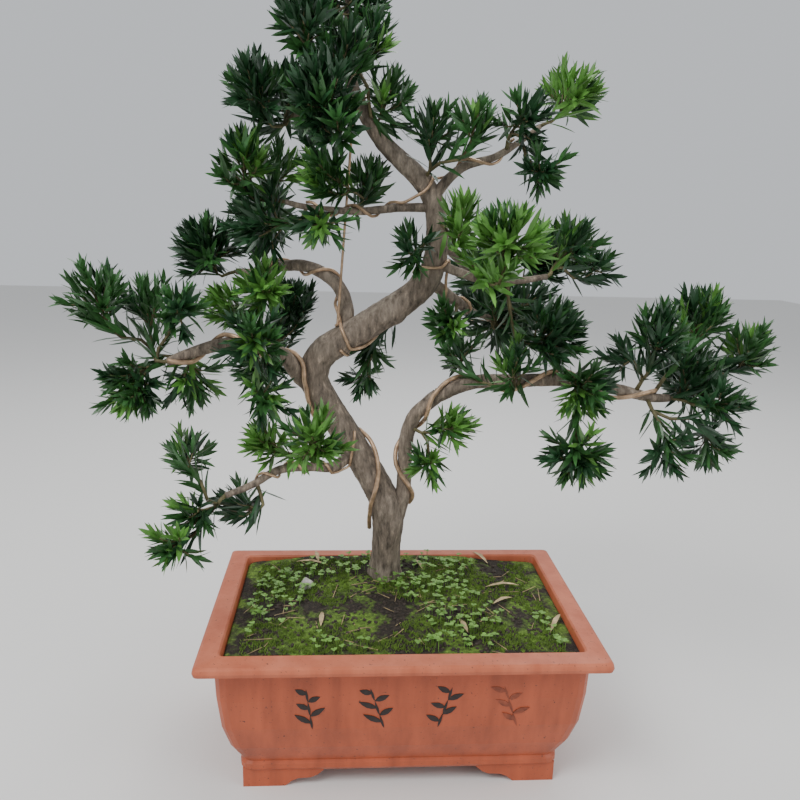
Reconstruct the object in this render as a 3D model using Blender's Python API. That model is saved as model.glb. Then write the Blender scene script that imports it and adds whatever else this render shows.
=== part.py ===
"""Buddhist pine trained as a bonsai, in its rectangular clay pot. Metres, +Z up.

The tree and the pot are laid out about the middle of the pot's foot print, x to the right, y to
the back and z up from what the pot stands on. One empty then moves everything, so that the origin
is at the bottom centre of the whole plant's box.

Order of making: pot, soil, trunk, boughs, training wires, and the masses of foliage. A limb is a
tapering tube through a few stations. A mass of foliage is one stem that leads to a few lobes,
with twigs that leave the stem by a seeded rule and blades set in a spiral round each twig.
"""
import math
import random

import bmesh
import bpy
from mathutils import Vector
from mathutils.bvhtree import BVHTree

# Middle of the pot in the part's own frame
POT_CENTRE = (-0.0424, -0.0679, 0.0)

# Clearance between pieces that touch
GAP = 0.0003

# Pot: half sizes along x and y
POT_HEIGHT = 0.185
RIM_HALF = (0.230, 0.1508)
RIM_WIDTH = 0.026
RIM_FALL = 0.0012
LIP_THICK = 0.0130
LIP_CORNER = 0.006
BODY_HALF = (0.2115, 0.1325)
BODY_CORNER = 0.014
WALL = 0.0095
FLOOR_THICK = 0.014
BODY_FOOT_Z = 0.037
BODY_FOOT_INSET = 0.0260
BODY_ROUND = 3.6
BODY_RINGS = 5
BAND_BOTTOM_Z = 0.022
BAND_SWELL = 0.0022
CORNER_STEPS = 3

# Bracket feet: length along each wall, flat length, thickness
FOOT_LENGTH = (0.094, 0.066)
FOOT_FLAT = 0.52
FOOT_THICK = 0.013
FOOT_SINK = 0.004
FOOT_INSET = 0.0012
FOOT_STEPS = 6

# Two drain holes in the floor
DRAIN_X = 0.095
DRAIN_RADIUS = 0.012

# Soil: level at the walls and round the trunk
SOIL_EDGE_Z = 0.1755
SOIL_TOP_Z = 0.1860
SOIL_PLATEAU = 0.28
SOIL_RINGS = (0.84, 0.62, 0.42, 0.26)

# Limbs: stations (x, y, z, radius) from the foot to the tip
LIMBS = {
    "trunk": [
        (-0.014, 0.066, 0.1863, 0.0200), (-0.013, 0.061, 0.230, 0.0196),
        (-0.012, 0.056, 0.272, 0.0215), (-0.024, 0.052, 0.311, 0.0195),
        (-0.065, 0.048, 0.383, 0.0177), (-0.102, 0.046, 0.444, 0.0173),
        (-0.107, 0.045, 0.468, 0.0177), (-0.094, 0.044, 0.493, 0.0177),
        (-0.040, 0.042, 0.529, 0.0170), (0.023, 0.040, 0.577, 0.0150),
        (0.037, 0.043, 0.630, 0.0128), (0.025, 0.046, 0.686, 0.0115),
        (-0.030, 0.045, 0.739, 0.0090), (-0.064, 0.042, 0.795, 0.0062),
        (-0.070, 0.040, 0.845, 0.0044), (-0.072, 0.036, 0.890, 0.0026),
    ],
    "bough_right_rise": [
        (-0.006, 0.055, 0.262, 0.0120), (0.006, 0.052, 0.305, 0.0098),
        (0.007, 0.050, 0.346, 0.0090), (0.009, 0.046, 0.387, 0.0089),
        (0.019, 0.042, 0.415, 0.0088), (0.045, 0.036, 0.441, 0.0087),
    ],
    "bough_right_arm": [
        (0.045, 0.036, 0.441, 0.0087), (0.085, 0.026, 0.460, 0.0085),
        (0.141, 0.012, 0.466, 0.0079), (0.198, 0.000, 0.470, 0.0076),
        (0.252, -0.006, 0.461, 0.0070), (0.296, -0.004, 0.451, 0.0056),
        (0.322, 0.000, 0.449, 0.0046),
    ],
    "bough_left": [
        (-0.104, 0.046, 0.441, 0.0100), (-0.125, 0.036, 0.463, 0.0097),
        (-0.142, 0.022, 0.489, 0.0089), (-0.170, 0.010, 0.506, 0.0082),
        (-0.209, 0.000, 0.507, 0.0074), (-0.244, -0.005, 0.498, 0.0062),
        (-0.272, -0.007, 0.487, 0.0048),
    ],
    "bough_left_low": [
        (-0.061, 0.046, 0.364, 0.0080), (-0.082, 0.030, 0.350, 0.0064),
        (-0.114, 0.010, 0.356, 0.0056), (-0.147, -0.008, 0.358, 0.0049),
        (-0.178, -0.022, 0.344, 0.0042), (-0.207, -0.033, 0.335, 0.0034),
    ],
    "bough_left_upper": [
        (-0.074, 0.044, 0.505, 0.0095), (-0.069, 0.050, 0.543, 0.0085),
        (-0.081, 0.056, 0.573, 0.0079), (-0.112, 0.066, 0.592, 0.0072),
        (-0.145, 0.076, 0.593, 0.0064), (-0.179, 0.084, 0.584, 0.0050),
        (-0.206, 0.089, 0.584, 0.0038),
    ],
    "bough_left_high": [
        (0.030, 0.044, 0.666, 0.0054), (-0.008, 0.038, 0.665, 0.0048),
        (-0.049, 0.030, 0.660, 0.0044), (-0.084, 0.026, 0.660, 0.0040),
        (-0.118, 0.024, 0.663, 0.0034), (-0.140, 0.022, 0.668, 0.0028),
    ],
    "bough_right_upper": [
        (0.031, 0.045, 0.676, 0.0066), (0.047, 0.042, 0.698, 0.0058),
        (0.067, 0.038, 0.714, 0.0050), (0.099, 0.032, 0.724, 0.0043),
        (0.126, 0.028, 0.741, 0.0035), (0.149, 0.027, 0.759, 0.0028),
    ],
    "bough_right_mid": [
        (0.026, 0.044, 0.584, 0.0080), (0.062, 0.062, 0.558, 0.0068),
        (0.092, 0.082, 0.538, 0.0056), (0.116, 0.098, 0.530, 0.0044),
    ],
    "bough_right_inner": [
        (0.036, 0.042, 0.603, 0.0062), (0.062, 0.030, 0.593, 0.0053),
        (0.093, 0.020, 0.585, 0.0047), (0.135, 0.020, 0.585, 0.0041),
        (0.168, 0.025, 0.590, 0.0032),
    ],
    "bough_back_low": [
        (-0.106, 0.046, 0.462, 0.0090), (-0.122, 0.088, 0.467, 0.0077),
        (-0.144, 0.126, 0.468, 0.0064), (-0.160, 0.156, 0.466, 0.0046),
    ],
    "bough_back_right": [
        (0.037, 0.044, 0.629, 0.0074), (0.058, 0.090, 0.618, 0.0068),
        (0.086, 0.140, 0.596, 0.0058), (0.112, 0.178, 0.580, 0.0044),
    ],
    "bough_back_top": [
        (-0.050, 0.044, 0.768, 0.0054), (-0.062, 0.080, 0.782, 0.0046),
        (-0.076, 0.110, 0.792, 0.0036),
    ],
    "bough_crown_left": [
        (-0.059, 0.043, 0.778, 0.0050), (-0.086, 0.037, 0.768, 0.0044),
        (-0.112, 0.028, 0.762, 0.0036), (-0.130, 0.020, 0.761, 0.0028),
    ],
}
# Boughs that run on from the end of another
CARRIED = {"bough_right_arm": "bough_right_rise"}
UP = Vector((0, 0, 1))
TRUNK_SIDES = 10
BOUGH_SIDES = 6
LIMB_STEP = 0.022
TRUNK_FLARE = 0.20
FLARE_HEIGHT = 0.014
TRUNK_LOBING = (0.06, 0.035)

# Training wires: radius, then legs (limb, from, to, first and last angle in degrees). The places
# are shares of the limb's length. Angle 0 is the limb's front, 90 the right of a rising limb.
WIRES = {
    "wire_left": (0.0028, [
        ("trunk", 0.083, 0.135, 262, 305), ("trunk", 0.145, 0.190, 315, 395),
        ("trunk", 0.200, 0.225, 410, 447), ("trunk", 0.235, 0.300, 465, 632),
        ("bough_left", 0.16, 0.99, 15, 735)]),
    "wire_right": (0.0028, [
        ("bough_right_rise", 0.17, 0.97, 118, -385), ("bough_right_arm", 0.03, 0.93, -412, -1160)]),
    "wire_left_low": (0.0016, [
        ("trunk", 0.262, 0.216, 40, -50), ("bough_left_low", 0.20, 0.80, -70, 930)]),
    "wire_left_upper": (0.0020, [
        ("trunk", 0.498, 0.436, 150, 40), ("bough_left_upper", 0.20, 0.86, -60, -770)]),
    "wire_high": (0.0018, [
        ("bough_right_upper", 0.78, 0.24, 620, 170), ("trunk", 0.735, 0.715, 200, -10),
        ("bough_left_high", 0.22, 0.86, 30, 840)]),
    "wire_mid": (0.0018, [
        ("trunk", 0.585, 0.615, -110, 80), ("bough_right_mid", 0.30, 0.90, 60, 560)]),
}
WIRE_SIDES = 4
WIRE_STEP = 0.0098
WIRE_CLEARS = (0.0010, 0.0014, 0.0018, 0.0022, 0.0027, 0.0033)
WIRE_EASE = 8

# Straight tie between two places on the trunk
TIE_RADIUS = 0.0016
TIE_PLACES = (0.425, 0.860)
TIE_TURNS = 280
TIE_RISE = 0.012

# Foliage: (limb, place or None for the tip, lift, tone, lobes), each lobe with its centre, its
# half width and its half height. Lift 1 stands up, 0 reaches out and -1 hangs.
MASSES = {
    "left_crest": ("bough_left", None, 0.8, "mid", [
        (-0.302, 0.030, 0.544, 0.030, 0.042), (-0.343, -0.010, 0.556, 0.036, 0.042),
        (-0.249, -0.030, 0.547, 0.030, 0.036)]),
    "left_skirt": ("bough_left", 0.80, -0.6, "mid", [
        (-0.252, 0.030, 0.461, 0.034, 0.040), (-0.305, -0.030, 0.461, 0.036, 0.038)]),
    "pompom": ("bough_left_upper", None, 0.7, "dark", [
        (-0.242, 0.090, 0.609, 0.044, 0.043)]),
    "upper_left_light": ("bough_left_upper", 0.74, 0.3, "young", [
        (-0.165, 0.000, 0.572, 0.034, 0.036), (-0.212, 0.050, 0.545, 0.034, 0.029)]),
    "left_back": ("bough_back_low", None, 0.2, "dark", [
        (-0.189, 0.200, 0.449, 0.048, 0.046), (-0.142, 0.140, 0.540, 0.036, 0.032)]),
    "left_front": ("bough_left", 0.50, 0.1, "mid", [
        (-0.168, -0.050, 0.517, 0.036, 0.036), (-0.159, -0.040, 0.457, 0.030, 0.038)]),
    "column_top": ("bough_left_high", None, 0.9, "mid", [
        (-0.150, 0.050, 0.702, 0.032, 0.036), (-0.181, 0.000, 0.708, 0.032, 0.043)]),
    "column_foot": ("bough_left_high", 0.86, -0.1, "dark", [
        (-0.166, 0.020, 0.641, 0.040, 0.041), (-0.173, 0.130, 0.657, 0.042, 0.044)]),
    "crown_left": ("bough_crown_left", None, 0.6, "dark", [
        (-0.135, 0.030, 0.776, 0.033, 0.045), (-0.167, -0.020, 0.777, 0.035, 0.041)]),
    "apex": ("trunk", None, 0.9, "dark", [
        (-0.090, 0.030, 0.904, 0.040, 0.042), (-0.115, -0.030, 0.845, 0.036, 0.036),
        (-0.052, 0.034, 0.882, 0.028, 0.034)]),
    "crown_front": ("trunk", 0.875, 0.5, "dark", [
        (-0.097, -0.040, 0.774, 0.039, 0.047), (-0.074, -0.020, 0.817, 0.032, 0.036),
        (-0.080, -0.045, 0.745, 0.034, 0.026)]),
    "crown_right": ("trunk", 0.905, 0.6, "mid", [
        (-0.045, 0.020, 0.839, 0.028, 0.040), (-0.025, 0.040, 0.783, 0.030, 0.041)]),
    "crown_back": ("bough_back_top", None, 0.6, "dark", [
        (-0.093, 0.140, 0.832, 0.042, 0.045), (-0.109, 0.170, 0.778, 0.042, 0.042)]),
    "under_crown": ("bough_left_high", 0.52, 0.9, "mid", [
        (-0.046, 0.060, 0.694, 0.032, 0.031), (-0.098, -0.010, 0.700, 0.029, 0.036)]),
    "high_droop": ("bough_left_high", 0.66, -0.5, "mid", [
        (-0.099, -0.020, 0.643, 0.037, 0.023)]),
    "trunk_sprig": ("trunk", 0.650, 0.2, "mid", [
        (0.003, 0.000, 0.618, 0.022, 0.034)]),
    "upper_right_inner": ("trunk", 0.730, 0.9, "mid", [
        (0.024, 0.020, 0.748, 0.031, 0.038), (0.066, -0.010, 0.753, 0.031, 0.031)]),
    "upper_right_mid": ("bough_right_upper", 0.70, 0.2, "mid", [
        (0.123, -0.010, 0.762, 0.029, 0.037), (0.138, -0.030, 0.704, 0.027, 0.026)]),
    "upper_right_tip": ("bough_right_upper", None, 0.6, "young", [
        (0.183, 0.030, 0.791, 0.040, 0.037)]),
    "trunk_light": ("trunk", 0.665, 0.8, "young", [
        (0.056, -0.020, 0.651, 0.028, 0.038)]),
    "fan": ("bough_right_inner", 0.40, 0.7, "young", [
        (0.087, -0.020, 0.603, 0.035, 0.030), (0.093, -0.112, 0.635, 0.043, 0.037)]),
    "inner_tip": ("bough_right_inner", None, 0.5, "mid", [
        (0.193, 0.030, 0.624, 0.039, 0.039), (0.235, 0.050, 0.600, 0.031, 0.025)]),
    "mid_dark": ("bough_right_mid", None, 0.2, "dark", [
        (0.134, 0.120, 0.528, 0.052, 0.048)]),
    "mid_right": ("bough_right_inner", 0.66, 0.3, "dark", [
        (0.156, 0.050, 0.556, 0.034, 0.030), (0.172, -0.004, 0.525, 0.040, 0.048)]),
    "mid_sprig": ("bough_right_mid", 0.45, 0.2, "mid", [
        (0.050, 0.005, 0.536, 0.032, 0.024)]),
    "arm_spray": ("bough_right_arm", 0.27, 0.6, "mid", [
        (0.125, -0.016, 0.484, 0.027, 0.036), (0.072, 0.048, 0.493, 0.028, 0.025)]),
    "arm_tuft": ("bough_right_arm", 0.56, -0.3, "mid", [
        (0.203, -0.040, 0.467, 0.037, 0.037), (0.196, -0.062, 0.394, 0.043, 0.033)]),
    "far_left": ("bough_right_arm", 0.84, 0.8, "dark", [
        (0.288, -0.030, 0.526, 0.033, 0.046), (0.265, 0.010, 0.493, 0.022, 0.023)]),
    "far_core": ("bough_right_arm", None, 0.3, "dark", [
        (0.352, 0.010, 0.462, 0.043, 0.040), (0.366, -0.046, 0.456, 0.028, 0.029),
        (0.388, 0.100, 0.466, 0.044, 0.040)]),
    "far_top": ("bough_right_arm", 0.93, 0.8, "mid", [
        (0.364, 0.030, 0.541, 0.039, 0.044), (0.421, 0.020, 0.506, 0.038, 0.034)]),
    "far_drop": ("bough_right_arm", 0.90, -0.7, "dark", [
        (0.300, -0.056, 0.398, 0.032, 0.030), (0.376, 0.000, 0.392, 0.034, 0.036)]),
    "rise_sprig": ("bough_right_rise", 0.72, 0.3, "young", [
        (0.057, -0.005, 0.412, 0.030, 0.029), (0.030, 0.008, 0.362, 0.021, 0.021)]),
    "hang_sprig": ("trunk", 0.490, -0.7, "dark", [
        (-0.041, 0.085, 0.487, 0.024, 0.018), (-0.048, 0.078, 0.452, 0.026, 0.023)]),
    "lower_left_drop": ("bough_left_low", None, 0.0, "mid", [
        (-0.238, -0.060, 0.325, 0.034, 0.027), (-0.247, -0.024, 0.383, 0.032, 0.029),
        (-0.255, -0.094, 0.300, 0.028, 0.027)]),
    "lower_left_inner": ("bough_left_low", 0.78, 0.1, "dark", [
        (-0.192, -0.006, 0.314, 0.036, 0.026)]),
    "lower_left_light": ("bough_left_low", 0.36, 0.5, "young", [
        (-0.159, -0.024, 0.398, 0.033, 0.028), (-0.101, -0.092, 0.420, 0.032, 0.040)]),
    "right_back": ("bough_back_right", None, 0.3, "dark", [
        (0.127, 0.240, 0.573, 0.048, 0.046), (0.165, 0.215, 0.518, 0.046, 0.044),
        (0.204, 0.180, 0.602, 0.042, 0.040)]),
}
DENSE = ("apex", "crown_front", "pompom", "column_foot", "far_core", "mid_dark")
STEM_RADIUS = 0.0026
STEM_STEPS = 3
FORK_AHEAD = 0.5
TIP_PLACES = (0.92, 0.84, 0.76, 0.68, 0.60)
LAST_PLACE = 0.97
NUDGES = (0.0, 0.03, -0.03, 0.06, -0.06, 0.09, -0.09, 0.12, -0.12, 0.16, -0.16)
TWIG_RADIUS = 0.0019
SIDE_RADIUS = 0.0012
SIDE_FROM = 0.25
TWIG_SIDES = 3
TWIGS_PER_LITRE = 3.0
TWIG_REACH = 0.42
HUB_BACK = 0.72
HUB_AHEAD = 0.012
SHOOT_LEAST = 0.10
SHOOT_BARE = 0.036
BLADES_ON_SHOOT = 5
BLADES_ON_TWIG = 3
BLADE_TRIES = 2.0
BLADE_LONGEST = 0.062
BLADE_SHORTEST = 0.024
BLADE_WIDTH = 0.0145
BLADE_THICK = 0.0012
BLADE_WIDEST = 0.45
BLADE_OPEN = (72.0, 26.0)
BLADE_ROW = 120.0
BLADE_LIFT = 0.04
BLADE_SINK = 0.0012
CORE_SHARES = (0.46, 0.38, 0.30)
GOLDEN = math.radians(137.508)
LOBE_SLACK = 1.10
CELL_MARGIN = 0.035
LIMB_CLEAR = 0.0010

# Colours (linear) and finish: colour, roughness
FINISHES = {
    "clay": ((0.36, 0.10, 0.055), 0.60),
    "soil": ((0.030, 0.024, 0.016), 0.95),
    "bark": ((0.20, 0.155, 0.115), 0.85),
    "wire": ((0.30, 0.17, 0.10), 0.40),
    "dark": ((0.016, 0.050, 0.018), 0.42),
    "mid": ((0.030, 0.090, 0.026), 0.42),
    "young": ((0.075, 0.190, 0.040), 0.42),
}


def clear_scene():
    """Remove what a new file holds."""
    for obj in list(bpy.data.objects):
        bpy.data.objects.remove(obj, do_unlink=True)


def finish(name):
    """The material called name, made on first use."""
    material = bpy.data.materials.get(name)
    if material is None:
        colour, roughness = FINISHES[name]
        material = bpy.data.materials.new(name)
        material.use_nodes = True
        shader = material.node_tree.nodes["Principled BSDF"]
        shader.inputs["Base Color"].default_value = (*colour, 1.0)
        shader.inputs["Roughness"].default_value = roughness
        shader.inputs["Metallic"].default_value = 0.6 if name == "wire" else 0.0
        material.diffuse_color = (*colour, 1.0)
    return material


def new_object(name, vertices, faces, material=None, collection=None):
    """An object from vertices and faces."""
    mesh = bpy.data.meshes.new(name)
    mesh.from_pydata([tuple(v) for v in vertices], [], faces)
    mesh.update()
    obj = bpy.data.objects.new(name, mesh)
    (collection or bpy.context.scene.collection).objects.link(obj)
    if material:
        mesh.materials.append(finish(material))
    return obj


def apply_boolean(obj, operation, other, solver="EXACT"):
    """Join to obj, or cut from it, another object or all the objects of a collection."""
    modifier = obj.modifiers.new("shape", "BOOLEAN")
    modifier.operation = operation
    modifier.solver = solver
    if isinstance(other, bpy.types.Collection):
        modifier.operand_type = "COLLECTION"
        modifier.collection = other
    else:
        modifier.object = other
    shaped = obj.evaluated_get(bpy.context.evaluated_depsgraph_get())
    mesh = bpy.data.meshes.new_from_object(shaped)
    obj.modifiers.clear()
    old = obj.data
    obj.data = mesh
    bpy.data.meshes.remove(old)


def remove_objects(objects):
    """Remove helper objects with their meshes."""
    for obj in list(objects):
        mesh = obj.data
        bpy.data.objects.remove(obj, do_unlink=True)
        bpy.data.meshes.remove(mesh)


# Limbs

def smooth_curve(stations, step):
    """Points about a step apart on a smooth curve through the stations, radius included."""
    ends = [stations[0], *stations, stations[-1]]
    points = []
    for a, b, c, d in zip(ends, ends[1:], ends[2:], ends[3:]):
        count = max(1, round(math.dist(b[:3], c[:3]) / step))
        for i in range(count):
            t = i / count
            points.append(tuple(
                0.5 * (2 * q + (r - p) * t + (2 * p - 5 * q + 4 * r - s) * t * t
                       + (3 * q - p - 3 * r + s) * t ** 3)
                for p, q, r, s in zip(a, b, c, d)))
    points.append(stations[-1])
    return points


def tangents(points):
    """Unit directions along a line of points."""
    ahead = points[1:] + points[-1:]
    behind = points[:1] + points[:-1]
    return [(a - b).normalized() for a, b in zip(ahead, behind)]


def front_and_side(direction):
    """The directions to the front and to the side of a limb that runs in a direction."""
    front = Vector((0, -1, 0)) - direction * Vector((0, -1, 0)).dot(direction)
    if front.length < 0.15:
        front = Vector((0, 0, 1)) - direction * direction.z
    front.normalize()
    return front, direction.cross(front)


def frames(points, first=None):
    """Direction along a line and direction across it at each of its points, without twist.
    first, where given, is the direction that the line's first section faces."""
    directions = tangents(points)
    directions[-2] = directions[-1]
    if first is not None:
        directions[0] = first
    across = front_and_side(directions[0])[0]
    turned = []
    for direction in directions:
        across = (across - direction * across.dot(direction)).normalized()
        turned.append((direction, across))
    return turned


def tube(points, radii, sides, shape=None, first=None):
    """Vertices and faces of a closed tube along points. shape(i, angle) scales the radius."""
    vertices = []
    for i, (direction, across) in enumerate(frames(points, first)):
        point, radius = points[i], radii[i]
        side = direction.cross(across)
        for k in range(sides):
            angle = math.tau * k / sides
            reach = radius * (shape(i, angle) if shape else 1.0)
            vertices.append(point + (across * math.cos(angle) + side * math.sin(angle)) * reach)
    faces = [tuple(reversed(range(sides)))]
    for i in range(len(points) - 1):
        for k in range(sides):
            n = (k + 1) % sides
            faces.append((i * sides + k, i * sides + n, (i + 1) * sides + n, (i + 1) * sides + k))
    last = (len(points) - 1) * sides
    faces.append(tuple(range(last, last + sides)))
    return vertices, faces


class Limb:
    """A limb's smooth centre line with its radii, and places along it."""

    def __init__(self, stations, step=LIMB_STEP):
        samples = smooth_curve(stations, step)
        self.points = [Vector(s[:3]) for s in samples]
        self.radii = [s[3] for s in samples]
        self.along = [0.0]
        for a, b in zip(self.points, self.points[1:]):
            self.along.append(self.along[-1] + (b - a).length)

    def at(self, share):
        """Point, radius and direction at a share of the length."""
        target = share * self.along[-1]
        i = max(k for k in range(len(self.along) - 1) if self.along[k] <= target)
        t = (target - self.along[i]) / (self.along[i + 1] - self.along[i])
        point = self.points[i].lerp(self.points[i + 1], t)
        radius = self.radii[i] + (self.radii[i + 1] - self.radii[i]) * t
        return point, radius, (self.points[i + 1] - self.points[i]).normalized()


def trunk_shape(limb):
    """How the trunk's radius changes round and along it: fluting, and the flare of its foot."""
    def shape(i, angle):
        flare = TRUNK_FLARE * math.exp(-limb.along[i] / FLARE_HEIGHT)
        turn = 4.0 * limb.along[i]
        fluting = (TRUNK_LOBING[0] * math.cos(2 * angle + turn)
                   + TRUNK_LOBING[1] * math.cos(3 * angle - 2 * turn))
        return 1 + fluting + flare * (1 + 0.30 * math.cos(4 * angle + 0.7))
    return shape


def make_trunk(limb):
    """The whole trunk, from the flat cut at the soil to its tip."""
    vertices, faces = tube(limb.points, limb.radii, TRUNK_SIDES, trunk_shape(limb), UP)
    return new_object("trunk", vertices, faces, "bark")


def make_cutter(limb):
    """The trunk grown by the gap, which shapes the boughs' feet."""
    radii = [r + GAP * 1.3 for r in limb.radii]
    vertices, faces = tube(limb.points, radii, TRUNK_SIDES, trunk_shape(limb), UP)
    cutter = new_object("cutter", vertices, faces)
    cutter.hide_render = True
    cutter.display_type = "WIRE"
    return cutter


def make_bough(name, limbs, cutter):
    """One tapering bough, its foot shaped to the trunk, or set on the end of the bough below."""
    points, radii = list(limbs[name].points), limbs[name].radii
    if name in CARRIED:
        below = limbs[CARRIED[name]].points
        first = (below[-1] - below[-2]).normalized()
        points[0] = points[0] + first * GAP
        return new_object(name, *tube(points, radii, BOUGH_SIDES, None, first), "bark")
    bough = new_object(name, *tube(points, radii, BOUGH_SIDES), "bark")
    apply_boolean(bough, "DIFFERENCE", cutter)
    keep_largest(bough)
    return bough


def keep_largest(obj):
    """Keep an object's largest closed surface: drops loose scraps and fills sealed hollows."""
    mesh = bmesh.new()
    mesh.from_mesh(obj.data)
    mesh.faces.ensure_lookup_table()
    left = set(mesh.faces)
    islands = []
    while left:
        island = {left.pop()}
        edge_of_island = list(island)
        while edge_of_island:
            face = edge_of_island.pop()
            for edge in face.edges:
                for other in edge.link_faces:
                    if other in left:
                        left.remove(other)
                        island.add(other)
                        edge_of_island.append(other)
        islands.append(island)
    largest = max(islands, key=lambda faces: sum(f.calc_area() for f in faces))
    scraps = [f for island in islands if island is not largest for f in island]
    bmesh.ops.delete(mesh, geom=scraps, context="FACES")
    mesh.to_mesh(obj.data)
    mesh.free()


def surface_of(objects):
    """A search tree over the objects' surfaces, for distances and crossings."""
    vertices, faces = [], []
    for obj in objects:
        start = len(vertices)
        vertices += [v.co.copy() for v in obj.data.vertices]
        faces += [[start + i for i in p.vertices] for p in obj.data.polygons]
    return BVHTree.FromPolygons(vertices, faces)


# Training wires

def eased(points, surface, distance):
    """Draw a wire's points tight, and keep them a distance off the bark."""
    for turn in range(WIRE_EASE):
        drawn = [b * 0.6 + (a + c) * 0.2 for a, b, c in zip(points, points[1:], points[2:])]
        points = [points[0], *drawn, points[-1]] if turn < WIRE_EASE - 3 else points
        for i, point in enumerate(points):
            nearest, normal, _, away = surface.find_nearest(point)
            outside = (point - nearest).dot(normal) > 0
            if not outside or away < distance:
                outward = (point - nearest).normalized() if outside and away > 1e-5 else normal
                points[i] = nearest + outward * distance
    return points


def even(points, step):
    """The same line with its points evenly a step apart."""
    lengths = [(b - a).length for a, b in zip(points, points[1:])]
    count = max(2, round(sum(lengths) / step))
    spaced, i, passed = [], 0, 0.0
    for k in range(count + 1):
        target = sum(lengths) * k / count
        while i < len(lengths) - 1 and passed + lengths[i] < target:
            passed += lengths[i]
            i += 1
        spaced.append(points[i].lerp(points[i + 1], min(1.0, (target - passed) / lengths[i])))
    return spaced


def wire_points(limbs, legs, radius, clear, surface):
    """A wire's centre line, wound on its limbs one leg after another."""
    points = []
    for name, start, stop, first, last in legs:
        limb = limbs[name]
        count = max(3, round(abs(last - first) / 15))
        for i in range(count + 1):
            t = i / count
            centre, reach, direction = limb.at(start + (stop - start) * t)
            front, side = front_and_side(direction)
            angle = math.radians(first + (last - first) * t)
            off = front * math.cos(angle) + side * math.sin(angle)
            points.append(centre + off * (reach + radius + clear))
    return eased(even(points, WIRE_STEP), surface, radius + clear)


def tie_legs():
    """The tie's legs: most of a turn round the trunk, straight up, and a turn again."""
    low, high = TIE_PLACES
    return [("trunk", low, low + TIE_RISE, 300 - TIE_TURNS, 300),
            ("trunk", high, high + TIE_RISE, 280, 280 + TIE_TURNS)]


def make_wires(limbs, limb_objects):
    """All the training wires and the tie, each as tight as it can be and clear of what is there."""
    wires = []
    for name, (radius, legs) in {**WIRES, "tie_wire": (TIE_RADIUS, tie_legs())}.items():
        surface = surface_of([*limb_objects, *wires])
        for clear in WIRE_CLEARS:
            points = wire_points(limbs, legs, radius, clear, surface)
            solid = tube(points, [radius] * len(points), WIRE_SIDES)
            if not BVHTree.FromPolygons(*solid).overlap(surface):
                break
        wires.append(new_object(name, *solid, "wire"))
    return wires


# Pot

def rounded_ring(half_x, half_y, corner, z):
    """A closed ring of points: a rectangle with rounded corners."""
    ring = []
    for quarter, (sx, sy) in enumerate(((1, 1), (-1, 1), (-1, -1), (1, -1))):
        centre = Vector((sx * (half_x - corner), sy * (half_y - corner), z))
        for k in range(CORNER_STEPS + 1):
            angle = math.tau / 4 * (quarter + k / CORNER_STEPS)
            ring.append(centre + Vector((math.cos(angle), math.sin(angle), 0)) * corner)
    return ring


def body_inset(z):
    """How far the pot's wall stands in at a height: nearly upright, rounded in at its foot."""
    top = POT_HEIGHT - LIP_THICK
    fall = max(0.0, (top - z) / (top - BODY_FOOT_Z))
    return BODY_FOOT_INSET * (0.14 * fall + 0.86 * fall ** BODY_ROUND)


def body_rings(inset, bottom, top):
    """Rings down the body's wall, stood in by an inset."""
    rings = []
    for i in range(BODY_RINGS + 1):
        z = top + (bottom - top) * math.sin(math.pi / 2 * i / BODY_RINGS)
        back = inset + body_inset(z)
        corner = max(0.004, BODY_CORNER - inset * 0.5)
        rings.append(rounded_ring(BODY_HALF[0] - back, BODY_HALF[1] - back, corner, z))
    return rings


def loft(rings):
    """Vertices and faces of a closed solid through rings, from its first to its last cap."""
    count = len(rings[0])
    vertices = [v for ring in rings for v in ring]
    faces = [tuple(reversed(range(count)))]
    for i in range(len(rings) - 1):
        for k in range(count):
            n = (k + 1) % count
            faces.append((i * count + k, i * count + n, (i + 1) * count + n, (i + 1) * count + k))
    faces.append(tuple(range((len(rings) - 1) * count, len(rings) * count)))
    return vertices, faces


def pot_rings():
    """All the rings of the pot's skin, from its underside over the rim to its floor inside."""
    foot_x = BODY_HALF[0] - BODY_FOOT_INSET
    foot_y = BODY_HALF[1] - BODY_FOOT_INSET
    rings = []
    band_middle = (BAND_BOTTOM_Z + BODY_FOOT_Z) / 2
    for z, swell in ((BAND_BOTTOM_Z, -0.001), (band_middle - 0.003, BAND_SWELL),
                     (band_middle + 0.003, BAND_SWELL), (BODY_FOOT_Z - 0.001, 0.0)):
        rings.append(rounded_ring(foot_x + swell, foot_y + swell, BODY_CORNER, z))
    rings += list(reversed(body_rings(0.0, BODY_FOOT_Z, POT_HEIGHT - LIP_THICK)))[1:]
    lip_middle = POT_HEIGHT - RIM_FALL - LIP_THICK / 2
    half_lip = LIP_THICK / 2 - RIM_FALL / 2
    for back, rise in ((0.0042, -1.0), (0.0010, -0.72), (0.0, 0.0), (0.0010, 0.72), (0.0045, 1.0)):
        rings.append(rounded_ring(RIM_HALF[0] - back, RIM_HALF[1] - back, LIP_CORNER,
                                  lip_middle + half_lip * rise))
    inner = (RIM_HALF[0] - RIM_WIDTH, RIM_HALF[1] - RIM_WIDTH)
    rings.append(rounded_ring(inner[0] + 0.002, inner[1] + 0.002, LIP_CORNER, POT_HEIGHT))
    rings.append(rounded_ring(*inner, LIP_CORNER, POT_HEIGHT - 0.002))
    rings += body_rings(WALL, BAND_BOTTOM_Z + FLOOR_THICK, POT_HEIGHT - LIP_THICK)
    return rings


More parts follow.
